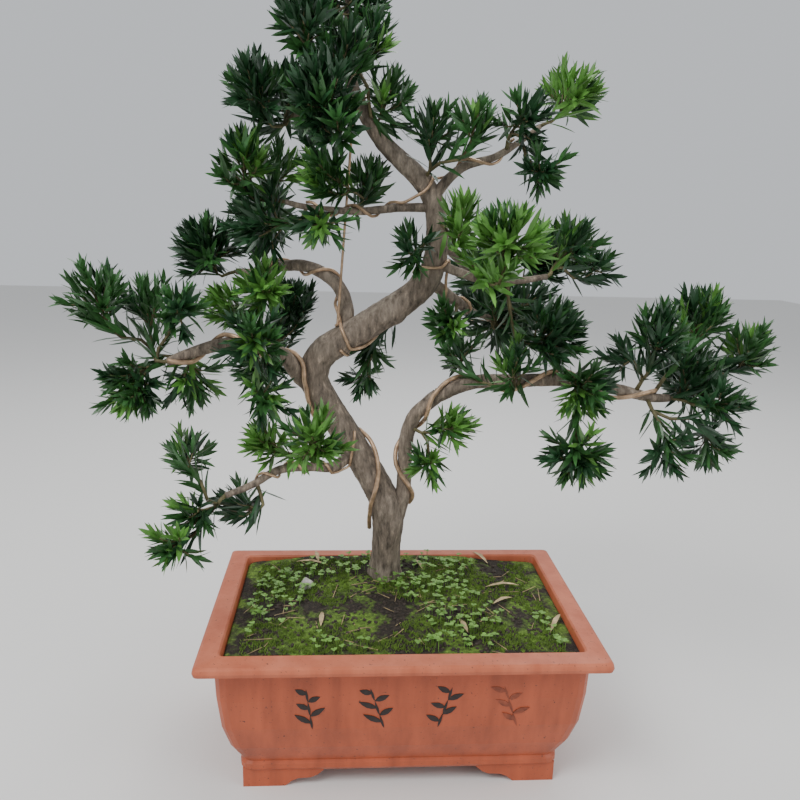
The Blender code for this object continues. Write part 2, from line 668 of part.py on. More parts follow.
def foot_plate(length, along_x, sx, sy):
    """One plate of a bracket foot: flat below, rising in an ogee away from the corner."""
    half_x = BODY_HALF[0] - BODY_FOOT_INSET - FOOT_INSET
    half_y = BODY_HALF[1] - BODY_FOOT_INSET - FOOT_INSET
    top = BAND_BOTTOM_Z + FOOT_SINK
    outline = [(0.0, 0.0), (length * FOOT_FLAT, 0.0)]
    for k in range(1, FOOT_STEPS + 1):
        t = k / FOOT_STEPS
        rise = BAND_BOTTOM_Z * (0.94 * t + 0.16 * math.sin(math.tau * t))
        outline.append((length * (FOOT_FLAT + (1 - FOOT_FLAT) * t), rise))
    outline += [(length, top), (0.0, top)]
    near, far = [], []
    for u, z in outline:
        if along_x:
            near.append(Vector((sx * (half_x - u), sy * half_y, z)))
            far.append(Vector((sx * (half_x - u), sy * (half_y - FOOT_THICK), z)))
        else:
            near.append(Vector((sx * half_x, sy * (half_y - u), z)))
            far.append(Vector((sx * (half_x - FOOT_THICK), sy * (half_y - u), z)))
    count = len(outline)
    faces = [tuple(range(count)), tuple(reversed(range(count, 2 * count)))]
    faces += [(k, k + count, (k + 1) % count + count, (k + 1) % count) for k in range(count)]
    return near + far, faces


def outward(obj):
    """Turn an object's faces to point out."""
    mesh = bmesh.new()
    mesh.from_mesh(obj.data)
    bmesh.ops.recalc_face_normals(mesh, faces=mesh.faces)
    mesh.to_mesh(obj.data)
    mesh.free()


def make_pot():
    """The pot: walls, rim, base band and four bracket feet in one fired piece."""
    pot = new_object("pot", *loft(pot_rings()), "clay")
    parts = bpy.data.collections.new("feet")
    bpy.context.scene.collection.children.link(parts)
    for sx in (-1, 1):
        for sy in (-1, 1):
            for along_x, length in ((True, FOOT_LENGTH[0]), (False, FOOT_LENGTH[1])):
                plate = new_object("plate", *foot_plate(length, along_x, sx, sy), None, parts)
                outward(plate)
    apply_boolean(pot, "UNION", parts)
    remove_objects(parts.objects)
    bpy.data.collections.remove(parts)
    for side in (-1, 1):
        low = Vector((side * DRAIN_X, 0, BAND_BOTTOM_Z - 0.01))
        high = low + Vector((0, 0, FLOOR_THICK + 0.02))
        drill = new_object("drill", *tube([low, high], [DRAIN_RADIUS] * 2, 12))
        apply_boolean(pot, "DIFFERENCE", drill)
        remove_objects([drill])
    keep_largest(pot)
    return pot


def make_soil(foot):
    """The soil in the pot, from its floor up to a low mound round the trunk's foot."""
    rings = body_rings(WALL + GAP * 1.3, BAND_BOTTOM_Z + FLOOR_THICK + GAP, SOIL_EDGE_Z)
    rings.reverse()
    edge = rings[-1]
    centre = Vector((foot.x, foot.y, 0))
    for share in SOIL_RINGS:
        climb = min(1.0, (1 - share) / (1 - SOIL_PLATEAU))
        climb = climb * climb * (3 - 2 * climb)
        z = SOIL_EDGE_Z + (SOIL_TOP_Z - SOIL_EDGE_Z) * climb
        rings.append([Vector((centre.x + (p.x - centre.x) * share,
                              centre.y + (p.y - centre.y) * share, z)) for p in edge])
    return new_object("soil", *loft(rings), "soil")


# Foliage

class Lobe:
    """The room that a part of a mass has: an upright ellipsoid."""

    def __init__(self, owner, row):
        self.owner = owner
        self.centre = Vector(row[:3])
        self.size = Vector((row[3], row[3], row[4]))

    def depth(self, point):
        """0 at the centre, 1 on the skin."""
        off = point - self.centre
        return math.sqrt(sum((a / b) ** 2 for a, b in zip(off, self.size)))

    def way_out(self, point, direction):
        """Length from a point inside to the skin, along a direction."""
        p = Vector([a / b for a, b in zip(point - self.centre, self.size)])
        d = Vector([a / b for a, b in zip(direction, self.size)])
        a, b, c = d.dot(d), p.dot(d), p.dot(p) - 1
        root = b * b - a * c
        return (-b + math.sqrt(root)) / a if root > 0 else 0.0


def swept(start, leaving, end, arriving, steps):
    """Points on a curve that leaves and arrives in given directions."""
    reach = (end - start).length * 0.4
    points = []
    for i in range(steps + 1):
        t = i / steps
        points.append(start * (1 - t) ** 3 + (start + leaving * reach) * (3 * t * (1 - t) ** 2)
                      + (end - arriving * reach) * (3 * t * t * (1 - t)) + end * t ** 3)
    return points


def tapered(points, thick, thin):
    """Radii that fall evenly along a line of points."""
    last = len(points) - 1
    return [thick + (thin - thick) * i / last for i in range(len(points))]


def stem_root(limb, place, surface, toward):
    """Where a mass's stem starts, just clear of the bark, and the direction it leaves in."""
    if place is None:
        direction = (limb.points[-1] - limb.points[-2]).normalized()
        return limb.points[-1] + direction * GAP, direction
    centre, radius, direction = limb.at(place)
    away = toward - centre
    away = (away - direction * away.dot(direction)).normalized()
    hit, normal, _, _ = surface.ray_cast(centre + away * radius * 3, -away)
    if hit is None:
        return centre + away * (radius + GAP), away
    return hit + normal * GAP, normal


def lobe_frame(lobe, root, lift):
    """The hub that a lobe's twigs leave from, and the direction in which the lobe grows."""
    outward_way = lobe.centre - root
    outward_way.z = 0
    way = outward_way.normalized() * (1 - abs(lift)) + Vector((0, 0, lift))
    way.normalize()
    hub = lobe.centre - Vector([a * b for a, b in zip(way, lobe.size)]) * HUB_BACK
    return hub, way


def shoot_end(lobe, way):
    """Where a lobe's middle shoot ends, so that its last blades reach the lobe's skin."""
    reach = max(SHOOT_LEAST, 1 - SHOOT_BARE / lobe.size.z)
    return lobe.centre + Vector([a * b for a, b in zip(way, lobe.size)]) * reach


def put_ahead(hub, start, leaving):
    """The hub, moved where it lies beside or behind the place that its stem starts from."""
    short = HUB_AHEAD - (hub - start).dot(leaving)
    return hub + leaving * max(0.0, short)


def stems_at(mass, place, limbs, surfaces, lobes):
    """One stem for each lobe: points, radii and the direction it leaves in. The first starts at
    the limb and the others fork off it; each runs on as the middle shoot of its lobe."""
    limb_name, _, lift, _, _ = mass
    root, leaving = stem_root(limbs[limb_name], place, surfaces[limb_name], lobes[0].centre)
    thick = STEM_RADIUS
    if place is None:
        thick = min(STEM_RADIUS, limbs[limb_name].radii[-1] * 0.9)
    stems = []
    for lobe in lobes:
        hub, way = lobe_frame(lobe, root, lift)
        if not stems:
            hub = put_ahead(hub, root, leaving)
            points = main = swept(root, leaving, hub, way, STEM_STEPS)
        else:
            steps = [(b - a).normalized() for a, b in zip(main[1:], main[2:])]
            turns = [(hub - p).length - (hub - p).dot(step) * FORK_AHEAD
                     for p, step in zip(main[1:], steps)]
            k = turns.index(min(turns))
            leaving = steps[k]
            hub = put_ahead(hub, main[k + 1], leaving)
            points = swept(main[k + 1], leaving, hub, way, STEM_STEPS)
            thick = TWIG_RADIUS * 1.25
        end = shoot_end(lobe, way)
        radii = tapered(points + [end], thick, TWIG_RADIUS * 0.7)
        stems.append((points + [end], radii, leaving))
    return stems


def stems_of(mass, limbs, surfaces, standing, lobes):
    """The mass's stems, from its own place or the nearest one where they pass clear of the limbs,
    the wires and the stems that stand already."""
    place = mass[1]
    places = [place, *TIP_PLACES] if place is None else [
        min(LAST_PLACE, place + nudge) for nudge in NUDGES]
    for tried in places:
        stems = stems_at(mass, tried, limbs, surfaces, lobes)
        trees = [BVHTree.FromPolygons(*stem_tube(stem)) for stem in stems]
        if not any(tree.overlap(other) for tree in trees for other in standing):
            return stems
    return stems_at(mass, place, limbs, surfaces, lobes)


def stem_tube(stem):
    """Vertices and faces of a stem, its first section square to the direction it leaves in."""
    points, radii, leaving = stem
    return tube(points, radii, TWIG_SIDES, None, leaving)


def twigs_of(lobe, hub, end, rng):
    """A lobe's side twigs, from low on its shoot to places spread over its growing side."""
    way = (end - hub).normalized()
    fork = hub.lerp(end, SIDE_FROM)
    front, side = front_and_side(way)
    litres = lobe.size.x * lobe.size.y * lobe.size.z * 4 / 3 * math.pi * 1000
    count = round(litres * TWIGS_PER_LITRE)
    turn = rng.random() * math.tau
    twigs = []
    for k in range(count):
        open_share = 0.55 - 0.85 * (k + 0.5) / count
        ring = math.sqrt(1 - open_share * open_share)
        angle = turn + GOLDEN * k + rng.uniform(-0.3, 0.3)
        spread = way * open_share + (front * math.cos(angle) + side * math.sin(angle)) * ring
        reach = TWIG_REACH * rng.uniform(0.85, 1.2)
        twigs.append([fork, lobe.centre + Vector([a * b for a, b in zip(spread, lobe.size)]) * reach])
    return twigs


def blade_places(twig, first, lobe, lift, rng, count):
    """Root, tip and axis of each blade on the last stretch of a twig: one at its end, and the
    others down its three sides in turn."""
    foot, end = twig[-2:]
    axis, across = frames(twig, first)[-1]
    side = axis.cross(across)
    start = rng.choice((0, 1, 2))
    places = []
    for j in range(count):
        share = 1 - 0.12 * (j > 0) - 0.76 * j / count
        angle = math.radians(BLADE_ROW * (start + j + 0.5) + rng.uniform(-10, 10))
        opening = math.radians(BLADE_OPEN[0] + (BLADE_OPEN[1] - BLADE_OPEN[0]) * share
                               + rng.uniform(-7, 7)) * (1 if j else 0.15)
        out = across * math.cos(angle) + side * math.sin(angle)
        direction = axis * math.cos(opening) + out * math.sin(opening)
        direction.z += BLADE_LIFT * (1 if lift >= 0 else 0.3)
        direction.normalize()
        root = foot.lerp(end, share)
        room = lobe.way_out(root, direction)
        length = min(BLADE_LONGEST, room * LOBE_SLACK) * rng.uniform(0.90, 1.0)
        if length >= BLADE_SHORTEST:
            places.append((root, root + direction * length, axis))
    return places


def blade_mesh(root, tip, axis):
    """A blade of six faces, flat below and ridged above, its root sunk in the twig."""
    along = (tip - root).normalized()
    side = along.cross(axis)
    side = side.normalized() if side.length > 1e-3 else along.orthogonal().normalized()
    up = along.cross(side)
    middle = root.lerp(tip, BLADE_WIDEST)
    vertices = [root - along * BLADE_SINK, middle + side * BLADE_WIDTH / 2,
                middle + up * BLADE_THICK, middle - side * BLADE_WIDTH / 2, tip]
    faces = [(0, 2, 1), (0, 3, 2), (0, 1, 3), (4, 1, 2), (4, 2, 3), (4, 3, 1)]
    return vertices, faces


def core_mesh(lobe, share, rng):
    """A small uneven core of twenty faces for a dense lobe."""
    ball = bmesh.new()
    bmesh.ops.create_icosphere(ball, subdivisions=1, radius=share)
    vertices = [lobe.centre + Vector([a * b for a, b in zip(v.co, lobe.size)])
                * rng.uniform(0.85, 1.15) for v in ball.verts]
    faces = [tuple(v.index for v in face.verts) for face in ball.faces]
    ball.free()
    return vertices, faces


def keeps_room(points, owner, lobes):
    """Whether points keep to their own mass's room, clear of the neighbours' rooms."""
    for point in points:
        own = min(lobe.depth(point) for lobe in lobes if lobe.owner == owner)
        if own > LOBE_SLACK + 0.25:
            return False
        for lobe in lobes:
            if lobe.owner != owner and lobe.depth(point) < own + CELL_MARGIN:
                return False
    return True


def clear_of(vertices, faces, obstacles):
    """Whether a small solid neither crosses nor comes near the obstacles."""
    piece = BVHTree.FromPolygons(vertices, faces)
    for obstacle in obstacles:
        if piece.overlap(obstacle):
            return False
        if any(obstacle.find_nearest(v, LIMB_CLEAR)[0] is not None for v in vertices):
            return False
    return True


def samples_between(vertices):
    """A blade's or twig's own vertices and points between them."""
    points = list(vertices)
    for a, b in zip(vertices, vertices[1:]):
        points += [a.lerp(b, 0.5)]
    points.append(vertices[0].lerp(vertices[-1], 0.25))
    points.append(vertices[0].lerp(vertices[-1], 0.75))
    return points


def is_closed(obj):
    """Whether every edge of an object lies between two faces."""
    mesh = bmesh.new()
    mesh.from_mesh(obj.data)
    closed = all(edge.is_manifold for edge in mesh.edges)
    mesh.free()
    return closed


def join_parts(body, parts):
    """Join a collection's objects to a body, with the second solver where the first leaves it
    open, and remove them."""
    plain = body.data.copy()
    apply_boolean(body, "UNION", parts)
    keep_largest(body)
    if not is_closed(body):
        body.data = plain
        apply_boolean(body, "UNION", parts, "MANIFOLD")
        keep_largest(body)
    remove_objects(parts.objects)
    bpy.data.collections.remove(parts)


def make_mass(name, mass, stems, lobes, obstacles, seed):
    """One mass of foliage as one solid: stems, shoots, side twigs, cores and blades."""
    _, _, lift, tone, _ = mass
    own = [lobe for lobe in lobes if lobe.owner == name]
    body = new_object("foliage_" + name, *stem_tube(stems[0]), tone)
    parts = bpy.data.collections.new("parts")
    bpy.context.scene.collection.children.link(parts)
    for stem in stems[1:]:
        new_object("stem", *stem_tube(stem), None, parts)
    placed = [BVHTree.FromPolygons(*stem_tube(stem)) for stem in stems]
    for number, lobe in enumerate(own):
        rng = random.Random(seed * 100 + number)
        points, _, leaving = stems[number]
        shoots = [(points, leaving, BLADES_ON_SHOOT, placed[number])]
        hub, end = points[-2:]
        for twig in twigs_of(lobe, hub, end, rng):
            solid = tube(twig, tapered(twig, SIDE_RADIUS, SIDE_RADIUS * 0.8), TWIG_SIDES)
            if keeps_room(twig, name, lobes) and clear_of(*solid, obstacles):
                new_object("twig", *solid, None, parts)
                placed.append(BVHTree.FromPolygons(*solid))
                shoots.append((twig, None, BLADES_ON_TWIG, placed[-1]))
        if name in DENSE:
            for share in CORE_SHARES:
                core = core_mesh(lobe, share, rng)
                if keeps_room(core[0], name, lobes) and clear_of(*core, obstacles):
                    new_object("core", *core, None, parts)
                    break
        for twig, first, wanted, own_twig in shoots:
            set_blades = 0
            for place in blade_places(twig, first, lobe, lift, rng, round(wanted * BLADE_TRIES)):
                blade = blade_mesh(*place)
                tree = BVHTree.FromPolygons(*blade)
                crosses = any(tree.overlap(other) for other in placed if other is not own_twig)
                if set_blades < wanted and not crosses and clear_of(*blade, obstacles) and (
                        keeps_room(samples_between(blade[0]), name, lobes)):
                    new_object("blade", *blade, None, parts)
                    placed.append(tree)
                    set_blades += 1
    join_parts(body, parts)
    return body


def make_foliage(limbs, limb_objects, wires):
    """All the masses, each clear of the limbs, the wires and the others' stems."""
    surfaces = {name: surface_of([obj]) for name, obj in limb_objects.items()}
    wood = surface_of([*limb_objects.values(), *wires])
    lobes = [Lobe(name, row) for name, mass in MASSES.items() for row in mass[4]]
    stems, standing = {}, [wood]
    for name, mass in MASSES.items():
        own = [lobe for lobe in lobes if lobe.owner == name]
        stems[name] = stems_of(mass, limbs, surfaces, standing, own)
        standing += [BVHTree.FromPolygons(*stem_tube(stem)) for stem in stems[name]]
    masses, grown = [], []
    for seed, (name, mass) in enumerate(MASSES.items(), start=11):
        others = [stem_tube(stem) for other, rows in stems.items() if other != name
                  for stem in rows]
        vertices, faces = [], []
        for solid in others:
            faces += [[len(vertices) + i for i in face] for face in solid[1]]
            vertices += solid[0]
        obstacles = [wood, BVHTree.FromPolygons(vertices, faces), *grown]
        masses.append(make_mass(name, mass, stems[name], lobes, obstacles, seed))
        grown.append(surface_of(masses[-1:]))
    return masses


def main():
    clear_scene()
    limbs = {name: Limb(stations) for name, stations in LIMBS.items()}
    pot = make_pot()
    trunk = make_trunk(limbs["trunk"])
    soil = make_soil(limbs["trunk"].points[0])
    cutter = make_cutter(limbs["trunk"])
    limb_objects = {"trunk": trunk}
    for name in limbs:
        if name != "trunk":
            limb_objects[name] = make_bough(name, limbs, cutter)
    remove_objects([cutter])
    wires = make_wires(limbs, limb_objects.values())
    masses = make_foliage(limbs, limb_objects, wires)
    middle = bpy.data.objects.new("pot_centre", None)
    bpy.context.scene.collection.objects.link(middle)
    middle.location = POT_CENTRE
    for obj in [pot, soil, *limb_objects.values(), *wires, *masses]:
        obj.parent = middle
    for obj in [*limb_objects.values(), *wires]:
        obj.data.shade_smooth()
        obj.data.set_sharp_from_angle(angle=math.radians(60))


main()
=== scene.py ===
"""Looks of the buddhist pine bonsai in its clay pot. Metres, +Z up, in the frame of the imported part.

The tree and the pot are laid out about the middle of the pot's foot print, as in the part's source,
and every mesh is then moved to the pot's place in the frame.
"""
import math
import random

import bmesh
import bpy
from mathutils import Matrix, Vector, noise
from mathutils.bvhtree import BVHTree


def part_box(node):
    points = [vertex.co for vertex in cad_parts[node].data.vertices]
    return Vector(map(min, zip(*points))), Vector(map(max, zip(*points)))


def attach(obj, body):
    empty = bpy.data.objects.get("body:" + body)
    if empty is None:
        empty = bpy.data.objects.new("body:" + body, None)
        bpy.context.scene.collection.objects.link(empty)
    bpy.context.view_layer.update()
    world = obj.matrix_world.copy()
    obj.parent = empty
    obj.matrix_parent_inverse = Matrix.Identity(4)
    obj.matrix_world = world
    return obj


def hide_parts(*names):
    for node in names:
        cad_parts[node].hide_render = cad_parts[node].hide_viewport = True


bl_info = {
    "name": "Buddhist pine bonsai",
    "version": (1, 0, 0),
    "blender": (4, 5, 0),
    "location": "View3D > Sidebar > Bonsai",
    "description": "Dresses a buddhist pine bonsai in its clay pot",
    "category": "Object",
}

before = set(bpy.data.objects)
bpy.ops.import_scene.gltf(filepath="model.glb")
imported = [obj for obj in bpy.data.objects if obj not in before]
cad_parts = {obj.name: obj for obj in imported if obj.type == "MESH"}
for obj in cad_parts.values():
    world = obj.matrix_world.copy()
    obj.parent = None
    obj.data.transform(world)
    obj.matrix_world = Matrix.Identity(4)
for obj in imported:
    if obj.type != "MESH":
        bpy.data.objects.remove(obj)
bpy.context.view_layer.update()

# Middle of the pot's foot print in the frame
POT_LOW, POT_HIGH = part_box("pot")
POT_CENTRE = Vector(((POT_LOW.x + POT_HIGH.x) / 2, (POT_LOW.y + POT_HIGH.y) / 2, 0.0))

# Clearance between pieces that touch
GAP = 0.0003

# Pot: half sizes along x and y, then thicknesses and heights
POT_HEIGHT = 0.185
LIP_THICK = 0.0130
LIP_BLEND = 0.004
BODY_HALF = (0.2115, 0.1325)
WALL = 0.0095
FLOOR_THICK = 0.014
BODY_FOOT_Z = 0.037
BODY_FOOT_INSET = 0.0260
BODY_ROUND = 3.6
BAND_BOTTOM_Z = 0.022
CORNER_STEPS = 3

# Soil: height at the walls and at the trunk, and how far the mound's top spreads
SOIL_FOOT_Z = BAND_BOTTOM_Z + FLOOR_THICK + GAP
SOIL_EDGE_Z = 0.1755
SOIL_TOP_Z = 0.1860
SOIL_PLATEAU = 0.28
SOIL_CORNER = 0.008
SOIL_GAP = GAP * 1.3
SOIL_RINGS = 7

# Limbs: stations (x, y, z, radius) from the foot to the tip
LIMBS = {
    "trunk": [
        (-0.014, 0.066, 0.1863, 0.0200), (-0.013, 0.061, 0.230, 0.0196),
        (-0.012, 0.056, 0.272, 0.0215), (-0.024, 0.052, 0.311, 0.0195),
        (-0.065, 0.048, 0.383, 0.0177), (-0.102, 0.046, 0.444, 0.0173),
        (-0.107, 0.045, 0.468, 0.0177), (-0.094, 0.044, 0.493, 0.0177),
        (-0.040, 0.042, 0.529, 0.0170), (0.023, 0.040, 0.577, 0.0150),
        (0.037, 0.043, 0.630, 0.0128), (0.025, 0.046, 0.686, 0.0115),
        (-0.030, 0.045, 0.739, 0.0090), (-0.064, 0.042, 0.795, 0.0062),
        (-0.070, 0.040, 0.845, 0.0044), (-0.072, 0.036, 0.890, 0.0026),
    ],
    "bough_right_rise": [
        (-0.006, 0.055, 0.262, 0.0120), (0.006, 0.052, 0.305, 0.0098),
        (0.007, 0.050, 0.346, 0.0090), (0.009, 0.046, 0.387, 0.0089),
        (0.019, 0.042, 0.415, 0.0088), (0.045, 0.036, 0.441, 0.0087),
    ],
    "bough_right_arm": [
        (0.045, 0.036, 0.441, 0.0087), (0.085, 0.026, 0.460, 0.0085),
        (0.141, 0.012, 0.466, 0.0079), (0.198, 0.000, 0.470, 0.0076),
        (0.252, -0.006, 0.461, 0.0070), (0.296, -0.004, 0.451, 0.0056),
        (0.322, 0.000, 0.449, 0.0046),
    ],
    "bough_left": [
        (-0.104, 0.046, 0.441, 0.0100), (-0.125, 0.036, 0.463, 0.0097),
        (-0.142, 0.022, 0.489, 0.0089), (-0.170, 0.010, 0.506, 0.0082),
        (-0.209, 0.000, 0.507, 0.0074), (-0.244, -0.005, 0.498, 0.0062),
        (-0.272, -0.007, 0.487, 0.0048),
    ],
    "bough_left_low": [
        (-0.061, 0.046, 0.364, 0.0080), (-0.082, 0.030, 0.350, 0.0064),
        (-0.114, 0.010, 0.356, 0.0056), (-0.147, -0.008, 0.358, 0.0049),
        (-0.178, -0.022, 0.344, 0.0042), (-0.207, -0.033, 0.335, 0.0034),
    ],
    "bough_left_upper": [
        (-0.074, 0.044, 0.505, 0.0095), (-0.069, 0.050, 0.543, 0.0085),
        (-0.081, 0.056, 0.573, 0.0079), (-0.112, 0.066, 0.592, 0.0072),
        (-0.145, 0.076, 0.593, 0.0064), (-0.179, 0.084, 0.584, 0.0050),
        (-0.206, 0.089, 0.584, 0.0038),
    ],
    "bough_left_high": [
        (0.030, 0.044, 0.666, 0.0054), (-0.008, 0.038, 0.665, 0.0048),
        (-0.049, 0.030, 0.660, 0.0044), (-0.084, 0.026, 0.660, 0.0040),
        (-0.118, 0.024, 0.663, 0.0034), (-0.140, 0.022, 0.668, 0.0028),
    ],
    "bough_right_upper": [
        (0.031, 0.045, 0.676, 0.0066), (0.047, 0.042, 0.698, 0.0058),
        (0.067, 0.038, 0.714, 0.0050), (0.099, 0.032, 0.724, 0.0043),
        (0.126, 0.028, 0.741, 0.0035), (0.149, 0.027, 0.759, 0.0028),
    ],
    "bough_right_mid": [
        (0.026, 0.044, 0.584, 0.0080), (0.062, 0.062, 0.558, 0.0068),
        (0.092, 0.082, 0.538, 0.0056), (0.116, 0.098, 0.530, 0.0044),
    ],
    "bough_right_inner": [
        (0.036, 0.042, 0.603, 0.0062), (0.062, 0.030, 0.593, 0.0053),
        (0.093, 0.020, 0.585, 0.0047), (0.135, 0.020, 0.585, 0.0041),
        (0.168, 0.025, 0.590, 0.0032),
    ],
    "bough_back_low": [
        (-0.106, 0.046, 0.462, 0.0090), (-0.122, 0.088, 0.467, 0.0077),
        (-0.144, 0.126, 0.468, 0.0064), (-0.160, 0.156, 0.466, 0.0046),
    ],
    "bough_back_right": [
        (0.037, 0.044, 0.629, 0.0074), (0.058, 0.090, 0.618, 0.0068),
        (0.086, 0.140, 0.596, 0.0058), (0.112, 0.178, 0.580, 0.0044),
    ],
    "bough_back_top": [
        (-0.050, 0.044, 0.768, 0.0054), (-0.062, 0.080, 0.782, 0.0046),
        (-0.076, 0.110, 0.792, 0.0036),
    ],
    "bough_crown_left": [
        (-0.059, 0.043, 0.778, 0.0050), (-0.086, 0.037, 0.768, 0.0044),
        (-0.112, 0.028, 0.762, 0.0036), (-0.130, 0.020, 0.761, 0.0028),
    ],
}
UP = Vector((0, 0, 1))
LIMB_STEP = 0.022
TRUNK_FLARE = 0.20
FLARE_HEIGHT = 0.014
TRUNK_LOBING = (0.06, 0.035)

# Training wires: radius, then legs (limb, from, to, first and last angle in degrees). The places
# are shares of the limb's length. Angle 0 is the limb's front, 90 the right of a rising limb.
WIRES = {
    "wire_left": (0.0028, [
        ("trunk", 0.083, 0.135, 262, 305), ("trunk", 0.145, 0.190, 315, 395),
        ("trunk", 0.200, 0.225, 410, 447), ("trunk", 0.235, 0.300, 465, 632),
        ("bough_left", 0.16, 0.99, 15, 735)]),
    "wire_right": (0.0028, [
        ("bough_right_rise", 0.17, 0.97, 118, -385), ("bough_right_arm", 0.03, 0.93, -412, -1160)]),
    "wire_left_low": (0.0016, [
        ("trunk", 0.262, 0.216, 40, -50), ("bough_left_low", 0.20, 0.80, -70, 930)]),
    "wire_left_upper": (0.0020, [
        ("trunk", 0.498, 0.436, 150, 40), ("bough_left_upper", 0.20, 0.86, -60, -770)]),
    "wire_high": (0.0018, [
        ("bough_right_upper", 0.78, 0.24, 620, 170), ("trunk", 0.735, 0.715, 200, -10),
        ("bough_left_high", 0.22, 0.86, 30, 840)]),
    "wire_mid": (0.0018, [
        ("trunk", 0.585, 0.615, -110, 80), ("bough_right_mid", 0.30, 0.90, 60, 560)]),
}
WIRE_STEP = 0.0034
WIRE_TURN = 15.0
WIRE_CLEAR = 0.0010
WIRE_EASE = 8
WIRE_DRAWS = 5
WIRE_ROUND = 8

# Straight tie between two places on the trunk
TIE_RADIUS = 0.0016
TIE_PLACES = (0.425, 0.860)
TIE_TURNS = 280
TIE_RISE = 0.012

